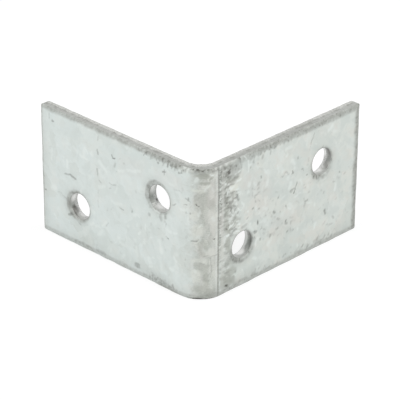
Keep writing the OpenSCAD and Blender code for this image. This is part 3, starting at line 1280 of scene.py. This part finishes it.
    def build(self) -> bpy.types.Object:
        """Builds the strip's mesh.

        Returns:
            The object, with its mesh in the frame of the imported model.
        """
        maker = NetMaker(self.strip)
        fine, coarse = maker.draw(1), maker.draw(2)
        outer, inner = self.add_outer_face(fine), self.add_inner_face(coarse)
        flat = self.strip.round_corners(fine.points)
        around = fine.outline
        self.add_wall(outer[around], inner[coarse.outline], flat[around], self.shear, Side.SHEARED)
        for rim, burr in zip(fine.rims, coarse.rims):
            backwards, halved = np.roll(rim[::-1], 1), np.roll(burr[::-1], 1)
            self.add_wall(outer[backwards], inner[halved], flat[backwards], self.punch, Side.PUNCHED)
        return self.make_object()

    def make_object(self) -> bpy.types.Object:
        """Folds the skin and makes its mesh.

        Returns:
            The object, linked to the scene.
        """
        blank = np.vstack(self.skin.blank)
        lifted = blank.copy()
        lifted[:, 1] += self.bulge(blank)
        places = self.strip.fold(lifted) * MM
        faces, sides = [], []
        for side, rows in self.skin.faces:
            faces.extend(rows.tolist())
            sides.extend([side.value] * len(rows))
        mesh = bpy.data.meshes.new("galvanised_strip")
        mesh.from_pydata(places.tolist(), [], faces)
        mesh.polygons.foreach_set("material_index", sides)
        mesh.polygons.foreach_set("use_smooth", [True] * len(faces))
        for name, vectors in (("blank", blank), ("tint", np.vstack(self.skin.tint))):
            mesh.attributes.new(name, "FLOAT_VECTOR", "POINT").data.foreach_set("vector", vectors.ravel())
        for name, values in (("worn_and_shaded", self.skin.worn_and_shaded), ("stain_and_shade", self.skin.stain_and_shade)):
            mesh.attributes.new(name, "FLOAT", "POINT").data.foreach_set("value", np.concatenate(values))
        mesh.update()
        rings = [zip(ring, np.roll(ring, -1)) for ring in self.skin.creases]
        creased = {tuple(sorted(pair)) for ring in rings for pair in ring}
        sharp = [tuple(sorted(edge.vertices)) in creased for edge in mesh.edges]
        mesh.edges.foreach_set("use_edge_sharp", sharp)
        if mesh.validate(verbose=False):
            raise ValueError("the strip's mesh has faults")
        made = bpy.data.objects.new("galvanised_strip", mesh)
        bpy.context.collection.objects.link(made)
        return made

    @staticmethod
    def dress(made: bpy.types.Object, coat: "ZincCoat", sheared: "CutSteel", punched: "CutSteel") -> None:
        """Gives the strip its materials, in the order of Side."""
        for finish in (coat, sheared, punched):
            made.data.materials.append(finish.material())


class Sketch:
    """Places shader nodes and joins them, so that a finish reads as a sum of its layers."""

    def __init__(self, name: str) -> None:
        """Starts an empty material.

        Args:
            name: The material's name.
        """
        self.material = bpy.data.materials.new(name)
        self.material.use_nodes = True
        self.tree = self.material.node_tree
        self.tree.nodes.clear()

    def place(self, kind: str, sockets: dict[Union[int, str], Socket], **settings: object) -> bpy.types.Node:
        """Places a node.

        Args:
            kind: The node's type.
            sockets: What goes into each input: a socket to join, or a value to set.
            settings: The node's own settings.

        Returns:
            The node.
        """
        node = self.tree.nodes.new(kind)
        for key, value in settings.items():
            setattr(node, key, value)
        for key, value in sockets.items():
            if isinstance(value, bpy.types.NodeSocket):
                self.tree.links.new(value, node.inputs[key])
            else:
                node.inputs[key].default_value = value
        return node

    def read(self, name: str, output: str) -> bpy.types.NodeSocket:
        """Reads one of the mesh's own attributes."""
        return self.place("ShaderNodeAttribute", {}, attribute_name=name).outputs[output]

    def calculate(self, operation: str, a: Socket, b: Socket) -> bpy.types.NodeSocket:
        """One step of arithmetic with two numbers."""
        return self.place("ShaderNodeMath", {0: a, 1: b}, operation=operation).outputs[0]

    def times(self, a: Socket, b: Socket) -> bpy.types.NodeSocket:
        """a times b."""
        return self.calculate("MULTIPLY", a, b)

    def plus(self, a: Socket, b: Socket) -> bpy.types.NodeSocket:
        """a plus b."""
        return self.calculate("ADD", a, b)

    def less(self, a: Socket, b: Socket) -> bpy.types.NodeSocket:
        """a less b."""
        return self.calculate("SUBTRACT", a, b)

    def sway(self, noise: Socket, amount: float) -> bpy.types.NodeSocket:
        """Noise moved to a middle of 0, times an amount."""
        return self.times(self.less(noise, 0.5), amount)

    def rise(self, value: Socket, low: float, high: float, top: float = 1.0) -> bpy.types.NodeSocket:
        """Rises softly with a value.

        Args:
            value: The value.
            low: Where the result is 0. It may lie above high, and the result then falls.
            high: Where the result has come to its top.
            top: The top.

        Returns:
            From 0 to the top.
        """
        if low < high:
            sockets = {"Value": value, "From Min": low, "From Max": high, "To Min": 0.0, "To Max": top}
        else:
            sockets = {"Value": value, "From Min": high, "From Max": low, "To Min": top, "To Max": 0.0}
        return self.place("ShaderNodeMapRange", sockets, interpolation_type="SMOOTHSTEP").outputs[0]

    def between(
        self, value: Socket, start: float, full: float, fade: float, end: float
    ) -> bpy.types.NodeSocket:
        """Rises softly from 0 at start to 1 at full, and falls again from fade to end."""
        return self.times(self.rise(value, start, full), self.rise(value, end, fade))

    def stretch(self, where: Socket, along: float, height: float, depth: float) -> bpy.types.NodeSocket:
        """Scales places by an amount along each length."""
        sockets = {0: where, 1: (along, height, depth)}
        return self.place("ShaderNodeVectorMath", sockets, operation="MULTIPLY").outputs[0]

    def turn(self, where: Socket, angle: Socket) -> bpy.types.NodeSocket:
        """Turns places about the depth direction."""
        sockets = {"Vector": where, "Angle": angle}
        return self.place("ShaderNodeVectorRotate", sockets, rotation_type="Z_AXIS").outputs[0]

    def bend(self, where: Socket, scale: float, reach: tuple[float, float, float]) -> bpy.types.NodeSocket:
        """Moves places about by noise, so that a pattern drawn with them bends.

        Args:
            where: The places.
            scale: The noise's scale.
            reach: How far the noise moves them along each length.

        Returns:
            The moved places.
        """
        noise = self.place("ShaderNodeTexNoise", {"Vector": where, "Scale": scale, "Detail": 2.0})
        sockets = {0: noise.outputs["Color"], 1: reach, 2: where}
        return self.place("ShaderNodeVectorMath", sockets, operation="MULTIPLY_ADD").outputs[0]

    def split(self, where: Socket) -> tuple[bpy.types.NodeSocket, ...]:
        """The three numbers of a place or colour."""
        return tuple(self.place("ShaderNodeSeparateXYZ", {0: where}).outputs)

    def noise(self, where: Socket, scale: float, detail: float = 3.0) -> bpy.types.NodeSocket:
        """Noise from about 0.3 to 0.7, with a middle of 0.5."""
        sockets = {"Vector": where, "Scale": scale, "Detail": detail}
        return self.place("ShaderNodeTexNoise", sockets).outputs[0]

    def cells(self, where: Socket, scale: float) -> bpy.types.NodeSocket:
        """A random colour for each cell of a pattern like crystals."""
        return self.place("ShaderNodeTexVoronoi", {"Vector": where, "Scale": scale}).outputs["Color"]

    def mix(self, share: Socket, a: Socket, b: Socket) -> bpy.types.NodeSocket:
        """The colour a where share is 0, and b where it is 1."""
        return self.place("ShaderNodeMix", {0: share, 6: a, 7: b}, data_type="RGBA").outputs[2]

    def lay(self, colour: Socket, *layers: tuple[Socket, Socket]) -> Socket:
        """Lays tones over a colour, one after the other.

        Args:
            colour: The colour.
            layers: The share of each tone, and the tone.

        Returns:
            The new colour.
        """
        for share, tone in layers:
            colour = self.mix(share, colour, tone)
        return colour

    def finish(
        self, colour: Socket, roughness: Socket, height: Socket, swell: float, metallic: float
    ) -> bpy.types.Material:
        """Closes the material with its shader.

        Args:
            colour: Its colour.
            roughness: Its roughness.
            height: The fine relief that the mesh is too coarse for, 0 to 1.
            swell: Millimetres between a height of 0 and of 1.
            metallic: How much of a metal it is.

        Returns:
            The material.
        """
        bump = self.place("ShaderNodeBump", {"Height": height, "Distance": swell * MM, "Strength": 1.0})
        shader = self.place(
            "ShaderNodeBsdfPrincipled",
            {"Base Color": colour, "Roughness": roughness, "Metallic": metallic, "Normal": bump.outputs[0]},
        )
        self.place("ShaderNodeOutputMaterial", {"Surface": shader.outputs[0]})
        return self.material


class Place(NamedTuple):
    """What the coat's layers read: the place on the blank, and its numbers.

    Past is the length from the press line towards the end of leg X, and outside is 1 on the outer face
    and 0 on the inner one.
    """

    flat: Socket
    along: Socket
    height: Socket
    past: Socket
    outside: Socket


@dataclass(frozen=True)
class ZincCoat:
    """The hot-dip zinc on both faces: pale, matt, with a faint spangle, darker over the fold and the dragged
    band, and darker along the cuts, partly worn and partly painted shade.

    The crystal is the scale of the spangle, and the swell is the height of the finest relief in millimetres.
    """

    name: str = "zinc_coat"
    metallic: float = 0.55
    roughness: float = 0.46
    swell: float = 0.012
    crystal: float = 0.24
    cool: Colour = paint(212, 220, 218)
    plain: Colour = paint(212, 216, 210)
    warm: Colour = paint(213, 215, 209)
    light: Colour = paint(225, 229, 226)
    fleck: Colour = paint(226, 232, 229)
    shade: Colour = paint(199, 206, 202)
    fold_shade: Colour = paint(187, 191, 185)
    fold_light: Colour = paint(200, 202, 197)
    patch_pale: Colour = paint(218, 221, 213)
    patch_deep: Colour = paint(158, 161, 151)
    patch_warm: Colour = paint(204, 202, 197)
    # The tone of the bands along the cuts: partly worn zinc, partly painted shade of the rolled edges.
    rim_wear_and_shade: Colour = paint(148, 150, 145)
    worn_dark: Colour = paint(118, 119, 112)
    scuff: Colour = paint(88, 88, 82)

    def material(self) -> bpy.types.Material:
        """Makes the coat's material.

        Returns:
            The material.
        """
        ink = Sketch(self.name)
        flat = ink.read("blank", "Vector")
        along, height, depth = ink.split(flat)
        at = Place(flat, along, height, ink.less(along, PRESS_LINE), ink.rise(depth, 1.2, 0.8))
        bent = ink.bend(flat, 0.9, (1.4, 1.4, 1.4))
        tone, heading, tint = ink.split(ink.cells(bent, self.crystal))
        branches = ink.stretch(ink.turn(bent, ink.times(heading, 2 * math.pi)), 0.65, 1.3, 1.0)
        feather = ink.noise(branches, 0.62)
        colour = self.spangle(ink, at, tone, tint, feather, cloud=ink.noise(bent, 0.36))
        colour = self.fold_tone(ink, at, colour)
        colour, drag = self.drag_tone(ink, at, colour)
        pale, deep, rosy = (ink.times(share, 0.9) for share in ink.split(ink.read("tint", "Vector")))
        colour = ink.lay(colour, (rosy, self.patch_warm), (pale, self.patch_pale), (deep, self.patch_deep))
        colour, dark = self.wear_shade_and_marks(ink, at, colour)
        grit = ink.times(ink.noise(flat, 5.5), ink.plus(0.15, ink.times(dark, 0.5)))
        relief = ink.plus(ink.times(feather, 0.2), grit)
        rough = ink.plus(ink.plus(self.roughness, ink.times(tone, 0.08)), ink.times(dark, 0.06))
        return ink.finish(colour, ink.less(rough, ink.times(drag, 0.08)), relief, self.swell, self.metallic)

    def spangle(
        self, ink: Sketch, at: Place, tone: Socket, tint: Socket, feather: Socket, cloud: Socket
    ) -> Socket:
        """The colour of the untouched coat. Towards leg X it is warmer and a few levels darker: partly hue,
        partly painted shade.

        Args:
            ink: The sketch.
            at: The place.
            tone: A random number for each crystal.
            tint: Another.
            feather: The noise of the crystals' own branches.
            cloud: Slow noise.

        Returns:
            The colour.
        """
        # Towards leg X the coat turns warmer and darker: partly its hue, partly painted shade of the face
        # that takes less light.
        leg_x = ink.rise(at.along, -10.0, 14.0)
        cloud_shade = ink.plus(0.25, ink.times(leg_x, 0.3))
        return ink.lay(
            self.cool,
            (ink.plus(ink.times(leg_x, 0.6), ink.times(tint, 0.35)), self.plain),
            (ink.times(ink.rise(cloud, 0.5, 0.64, 0.8), ink.plus(0.3, leg_x)), self.warm),
            (ink.rise(tone, 0.35, 0.95, 0.34), self.shade),
            (ink.times(ink.rise(cloud, 0.5, 0.36), cloud_shade), self.shade),
            (ink.rise(feather, 0.54, 0.72, 0.26), self.light),
            (ink.rise(feather, 0.46, 0.3, 0.4), self.shade),
        )

    def fold_tone(self, ink: Sketch, at: Place, colour: Socket) -> Socket:
        """Darkens the zinc over the fold, from a ragged start on leg Y to the press line.

        Args:
            ink: The sketch.
            at: The place.
            colour: The colour so far.

        Returns:
            The new colour.
        """
        patch = ink.noise(ink.stretch(at.flat, 1.0, 0.6, 1.0), 0.6)
        chip = ink.noise(ink.stretch(at.flat, 1.0, 1.5, 1.0), 1.3)
        shifted = ink.plus(ink.plus(at.along, ink.sway(patch, 3.2)), ink.sway(chip, 1.2))
        darkened = ink.times(ink.times(ink.rise(shifted, -2.7, 0.1), ink.rise(at.past, 0.1, -0.1)), at.outside)
        light_side = ink.times(ink.rise(at.along, 1.5, 2.5), ink.rise(at.height, 2.0, 16.0, 0.12))
        lighter = ink.rise(ink.plus(patch, light_side), 0.4, 0.58)
        plates = ink.stretch(ink.bend(at.flat, 1.5, (1.1, 1.1, 0.0)), 1.0, 0.7, 0.1)
        plate, _, _ = ink.split(ink.cells(plates, 0.9))
        fine = ink.noise(ink.stretch(at.flat, 1.0, 1.4, 1.0), 3.4)
        colour = ink.lay(
            colour,
            (ink.times(darkened, 0.95), ink.mix(lighter, self.fold_shade, self.fold_light)),
            (ink.times(darkened, ink.rise(plate, 0.6, 0.85, 0.2)), self.patch_deep),
            (ink.times(darkened, ink.rise(plate, 0.4, 0.15, 0.32)), self.patch_pale),
            (ink.times(darkened, ink.rise(fine, 0.52, 0.64, 0.26)), self.patch_deep),
            (ink.times(darkened, ink.rise(fine, 0.48, 0.36, 0.34)), self.patch_pale),
        )
        return self.press_line_tone(ink, at, chip, colour)

    def press_line_tone(self, ink: Sketch, at: Place, chip: Socket, colour: Socket) -> Socket:
        """Draws the line that the press left beside the fold, the light lip before it, and strokes up to it.

        Args:
            ink: The sketch.
            at: The place.
            chip: The noise of the fold's chips.
            colour: The colour so far.

        Returns:
            The new colour.
        """
        near_fold = ink.times(ink.rise(at.along, -6.0, -2.0), ink.rise(at.past, 0.1, -0.3))
        stroke = ink.times(ink.rise(chip, 0.56, 0.66, 0.25), near_fold)
        lip = ink.times(ink.between(at.past, -0.75, -0.5, -0.3, -0.15), 0.3)
        wander = ink.plus(at.past, ink.sway(ink.noise(at.flat, 0.8, 2.0), 0.14))
        line = ink.between(wander, -0.3, -0.1, 0.06, 0.32)
        line = ink.times(line, ink.plus(0.5, ink.rise(chip, 0.4, 0.6, 0.2)))
        return ink.lay(
            colour,
            (ink.times(stroke, at.outside), self.fold_shade),
            (ink.times(lip, at.outside), self.light),
            (ink.times(line, at.outside), self.worn_dark),
        )

    def drag_tone(self, ink: Sketch, at: Place, colour: Socket) -> tuple[Socket, Socket]:
        """Smears the zinc that the press dragged on leg X, more towards the top.

        Args:
            ink: The sketch.
            at: The place.
            colour: The colour so far.

        Returns:
            The new colour, and how dragged each place is.
        """
        smear = ink.noise(ink.stretch(at.flat, 0.8, 1.5, 1.0), 0.9, 4.0)
        specks = ink.noise(ink.stretch(at.flat, 0.8, 1.3, 1.0), 2.1, 2.0)
        up = ink.plus(ink.rise(at.height, 10.0, 18.0, 0.5), ink.plus(0.45, ink.rise(at.past, 3.7, 2.2, 0.4)))
        band = ink.times(ink.times(ink.between(at.past, 0.0, 0.4, 2.1, 5.7), at.outside), up)
        dark = ink.times(ink.rise(ink.plus(smear, ink.times(band, 0.08)), 0.56, 0.7), band)
        pale = ink.times(ink.rise(smear, 0.47, 0.36), band)
        gap = ink.times(ink.between(at.past, 0.45, 0.7, 1.0, 1.5), band)
        dots = ink.times(ink.rise(specks, 0.5, 0.64), ink.rise(at.height, 3.0, 15.0))
        dots = ink.times(ink.times(ink.between(at.past, -0.05, 0.15, 0.45, 1.2), at.outside), dots)
        colour = ink.lay(
            colour,
            (ink.times(band, 0.68), self.fold_shade),
            (ink.times(dark, 0.44), self.worn_dark),
            (ink.times(pale, 0.55), self.light),
            (ink.times(gap, 0.5), self.fold_light),
            (ink.times(dots, 0.75), self.worn_dark),
        )
        return colour, band

    def wear_shade_and_marks(self, ink: Sketch, at: Place, colour: Socket) -> tuple[Socket, Socket]:
        """Darkens the bands along the cuts, partly worn zinc and partly painted shade of the rolled edges,
        and lays on the marks.

        Args:
            ink: The sketch.
            at: The place.
            colour: The colour so far.

        Returns:
            The new colour, and how dark the bands along the cuts and the marks make each place.
        """
        worn_and_shaded, stain_and_shade = ink.read("worn_and_shaded", "Fac"), ink.read("stain_and_shade", "Fac")
        nibble = ink.noise(ink.stretch(at.flat, 1.0, 0.7, 1.0), 1.9)
        rim = ink.times(worn_and_shaded, ink.plus(0.86, ink.rise(nibble, 0.34, 0.66, 0.28)))
        ragged = ink.times(ink.rise(worn_and_shaded, 0.3, 0.6), ink.rise(at.along, -18.0, -8.0))
        blots = ink.times(ink.rise(ink.noise(at.flat, 1.7), 0.53, 0.66, 0.5), ragged)
        scuffed = ink.rise(ink.plus(stain_and_shade, ink.sway(nibble, 0.25)), 0.03, 0.85, 0.92)
        flecked = ink.rise(stain_and_shade, -0.04, -0.7, 0.7)
        layers = (rim, self.rim_wear_and_shade), (blots, self.worn_dark), (scuffed, self.scuff), (flecked, self.fleck)
        return ink.lay(colour, *layers), ink.calculate("MAXIMUM", rim, scuffed)


@dataclass(frozen=True)
class CutSteel:
    """The wall of a cut: burnished where the blade ran clean, and grainy where the sheet tore.

    Grime is how much of the dark tone shows, and the swell is the finest relief in millimetres. On the holes'
    walls, the dark and bright tones also paint shade and highlights.
    """

    name: str
    burnished: Colour
    torn: Colour
    dark: Colour
    bright: Colour
    grime: float = 1.0
    metallic: float = 0.6
    roughness: float = 0.36
    torn_roughness: float = 0.58
    swell: float = 0.03

    def material(self) -> bpy.types.Material:
        """Makes the wall's material.

        Returns:
            The material.
        """
        ink = Sketch(self.name)
        flat = ink.read("blank", "Vector")
        stain_and_shade = ink.read("stain_and_shade", "Fac")
        _, _, depth = ink.split(flat)
        edge = ink.plus(depth, ink.sway(ink.noise(flat, 0.7, 2.0), 0.5))
        tear = ink.rise(edge, 1.05, 1.3)
        stripes = ink.noise(ink.stretch(flat, 5.0, 5.0, 0.6), 1.0, 2.0)
        grains, blots = ink.noise(flat, 4.5), ink.noise(flat, 1.1)
        clean = ink.mix(ink.rise(stripes, 0.45, 0.68, 0.35 * self.grime), self.burnished, self.dark)
        grainy = ink.lay(
            self.torn,
            (ink.rise(grains, 0.5, 0.64, 0.5), self.bright),
            (ink.rise(grains, 0.46, 0.34, 0.4 * self.grime), self.dark),
        )
        seam = ink.times(ink.between(edge, 0.85, 1.05, 1.15, 1.4), ink.rise(blots, 0.45, 0.58))
        # The last two layers: on a hole's wall, painted shade and painted highlights; on the sheared wall,
        # its streaks.
        colour = ink.lay(
            ink.mix(tear, clean, grainy),
            (ink.times(seam, 0.6 * self.grime), self.dark),
            (ink.rise(blots, 0.56, 0.68, 0.35 * self.grime), self.dark),
            (ink.rise(stain_and_shade, 0.05, 1.2, 0.92), self.dark),
            (ink.rise(stain_and_shade, -0.02, -0.9, 0.95), self.bright),
        )
        rough = ink.plus(self.roughness, ink.times(tear, self.torn_roughness - self.roughness))
        return ink.finish(colour, rough, ink.mix(tear, stripes, grains), self.swell, self.metallic)


# Its tones are partly the cut steel's own and partly painted shade of the top wall, which faces up and takes
# less light.
SHEARED_STEEL = CutSteel(
    name="sheared_steel",
    burnished=paint(178, 180, 176),
    torn=paint(198, 199, 195),
    dark=paint(140, 141, 135),
    bright=paint(222, 222, 219),
)
# Its dark and bright tones are also the painted shade and painted highlights of the holes' walls.
PUNCHED_STEEL = CutSteel(
    name="punched_steel",
    burnished=paint(186, 188, 184),
    torn=paint(192, 193, 191),
    dark=paint(90, 89, 85),
    bright=paint(248, 248, 246),
    grime=0.35,
)


def way_back(azimuth: float, elevation: float) -> Vector:
    """The way from the brace to a camera or lamp that looks at it, from two angles in degrees.

    Args:
        azimuth: The angle round the brace, 0 in front of leg X's outer face.
        elevation: The angle above the floor.

    Returns:
        A vector of length 1.
    """
    turn, lift = math.radians(azimuth), math.radians(elevation)
    return Vector((math.sin(turn) * math.cos(lift), -math.cos(turn) * math.cos(lift), math.sin(lift)))


@dataclass(frozen=True)
class PortraitCamera:
    """The camera at the photograph's viewing angle. It looks past the outer corner, which stands at 0, 0, 0.

    Angles are in degrees, the lens and the sensor in millimetres, and the other lengths in metres. Rise
    and aside move the camera up and to its left, without turning it.
    """

    azimuth: float = -45.55
    elevation: float = 27.26
    roll: float = 0.31
    distance: float = 0.39234
    lens: float = 207.01
    sensor: float = 36.0
    rise: float = 0.018185
    aside: float = 0.00005

    def add(self) -> None:
        """Adds the camera and makes it the scene's."""
        back = way_back(self.azimuth, self.elevation)
        right = Vector((0, 0, 1)).cross(back).normalized()
        tilt = Matrix.Rotation(math.radians(self.roll), 3, back)
        right, up = tilt @ right, tilt @ back.cross(right)
        data = bpy.data.cameras.new("portrait")
        data.lens = self.lens
        data.sensor_width = self.sensor
        data.clip_start = 0.01
        camera = bpy.data.objects.new("portrait", data)
        place = back * self.distance + up * self.rise - right * self.aside
        camera.matrix_world = Matrix.Translation(place) @ Matrix((right, up, back)).transposed().to_4x4()
        bpy.context.collection.objects.link(camera)
        bpy.context.scene.camera = camera


@dataclass(frozen=True)
class Lamp:
    """A soft square lamp that looks at the brace: angles in degrees, lengths in metres, power in watts."""

    name: str
    azimuth: float
    elevation: float
    distance: float = 0.7
    side: float = 0.5
    power: float = 2.0

    def add(self, target: Vector) -> None:
        """Adds the lamp.

        Args:
            target: The place that it looks at.
        """
        back = way_back(self.azimuth, self.elevation)
        data = bpy.data.lights.new(self.name, "AREA")
        data.size = self.side
        data.energy = self.power
        lamp = bpy.data.objects.new(self.name, data)
        lamp.location = target + back * self.distance
        lamp.rotation_mode = "QUATERNION"
        lamp.rotation_quaternion = back.to_track_quat("Z", "Y")
        bpy.context.collection.objects.link(lamp)


@dataclass(frozen=True)
class Studio:
    """A white floor in a white room, with two soft lamps.

    The floor's grey is what lights the brace from below. Where the floor is seen, it is a faint tone that
    takes the shadow, and a glow that makes it white at its usual level of light.
    """

    floor_side: float = 3.0
    floor_grey: float = 0.8
    room_light: float = 0.56
    shadow_share: float = 0.26
    floor_light: float = 0.8
    lamps: tuple[Lamp, ...] = (
        Lamp("left_softbox", azimuth=-105.0, elevation=35.0, power=2.1),
        Lamp("right_softbox", azimuth=25.0, elevation=40.0, power=2.0),
    )

    def add(self, target: Vector) -> None:
        """Adds the floor, the room's light and the lamps.

        Args:
            target: The place that the lamps look at.
        """
        self.add_room()
        self.add_floor()
        for lamp in self.lamps:
            lamp.add(target)

    @staticmethod
    def seen_rays(tree: bpy.types.NodeTree) -> bpy.types.NodeSocket:
        """Finds the rays that see the room: those from the camera, from gloss and through glass.

        Args:
            tree: The node tree to add to.

        Returns:
            A socket that is 1 for these rays and 0 for the others.
        """
        path = tree.nodes.new("ShaderNodeLightPath")
        seen = path.outputs["Is Camera Ray"]
        for name in ("Is Glossy Ray", "Is Transmission Ray"):
            either = tree.nodes.new("ShaderNodeMath")
            either.operation = "MAXIMUM"
            tree.links.new(seen, either.inputs[0])
            tree.links.new(path.outputs[name], either.inputs[1])
            seen = either.outputs[0]
        return seen

    def add_room(self) -> None:
        """Sets the world: white where it is seen, and softer where it only lights."""
        world = bpy.data.worlds.new("white_room")
        world.use_nodes = True
        bpy.context.scene.world = world
        tree = world.node_tree
        tree.nodes.clear()
        lights, seen = (tree.nodes.new("ShaderNodeBackground") for _ in range(2))
        lights.inputs["Strength"].default_value = self.room_light
        for background in (lights, seen):
            background.inputs["Color"].default_value = WHITE
        mix = tree.nodes.new("ShaderNodeMixShader")
        output = tree.nodes.new("ShaderNodeOutputWorld")
        tree.links.new(self.seen_rays(tree), mix.inputs[0])
        tree.links.new(lights.outputs[0], mix.inputs[1])
        tree.links.new(seen.outputs[0], mix.inputs[2])
        tree.links.new(mix.outputs[0], output.inputs["Surface"])

    def add_floor(self) -> None:
        """Adds the floor, which shows white and keeps a faint shadow."""
        half = self.floor_side / 2
        ring = [(-half, -half, 0), (half, -half, 0), (half, half, 0), (-half, half, 0)]
        mesh = bpy.data.meshes.new("floor")
        mesh.from_pydata(ring, [], [(0, 1, 2, 3)])
        floor = bpy.data.objects.new("floor", mesh)
        bpy.context.collection.objects.link(floor)
        ink = Sketch("white_floor")
        plain = ink.place("ShaderNodeBsdfDiffuse", {"Color": (self.floor_grey,) * 3 + (1.0,)})
        faint = ink.place("ShaderNodeBsdfDiffuse", {"Color": (self.shadow_share,) * 3 + (1.0,)})
        strength = 1.0 - self.floor_light * self.shadow_share
        glow = ink.place("ShaderNodeEmission", {"Color": WHITE, "Strength": strength})
        shown = ink.place("ShaderNodeAddShader", {0: faint.outputs[0], 1: glow.outputs[0]})
        seen = self.seen_rays(ink.tree)
        mix = ink.place("ShaderNodeMixShader", {0: seen, 1: plain.outputs[0], 2: shown.outputs[0]})
        ink.place("ShaderNodeOutputMaterial", {"Surface": mix.outputs[0]})
        mesh.materials.append(ink.material)
        floor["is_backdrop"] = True


def corners(box: Iterable[Vector]) -> list[list[float]]:
    """A box's two corners as plain lists."""
    return [list(corner) for corner in box]


def main() -> None:
    """Builds the studio and the brace, and reports each piece."""
    logging.basicConfig(level=logging.INFO, format="%(name)s: %(message)s")
    bpy.context.scene.view_settings.view_transform = "Standard"
    PortraitCamera().add()
    low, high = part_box(NODE)
    Studio().add((Vector(low) + Vector(high)) / 2)

    brace = Brace(Strip.from_frame())
    made = brace.build()
    brace.dress(made, ZincCoat(), SHEARED_STEEL, PUNCHED_STEEL)
    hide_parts(NODE)
    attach(made, BODY)
    triangles = sum(len(face.vertices) - 2 for face in made.data.polygons)
    log.info("%s: %d points, %d triangles", made.name, len(made.data.vertices), triangles)

    {"cad": corners(packed_box), "visual": corners(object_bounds())}


if __name__ == "__main__":
    main()
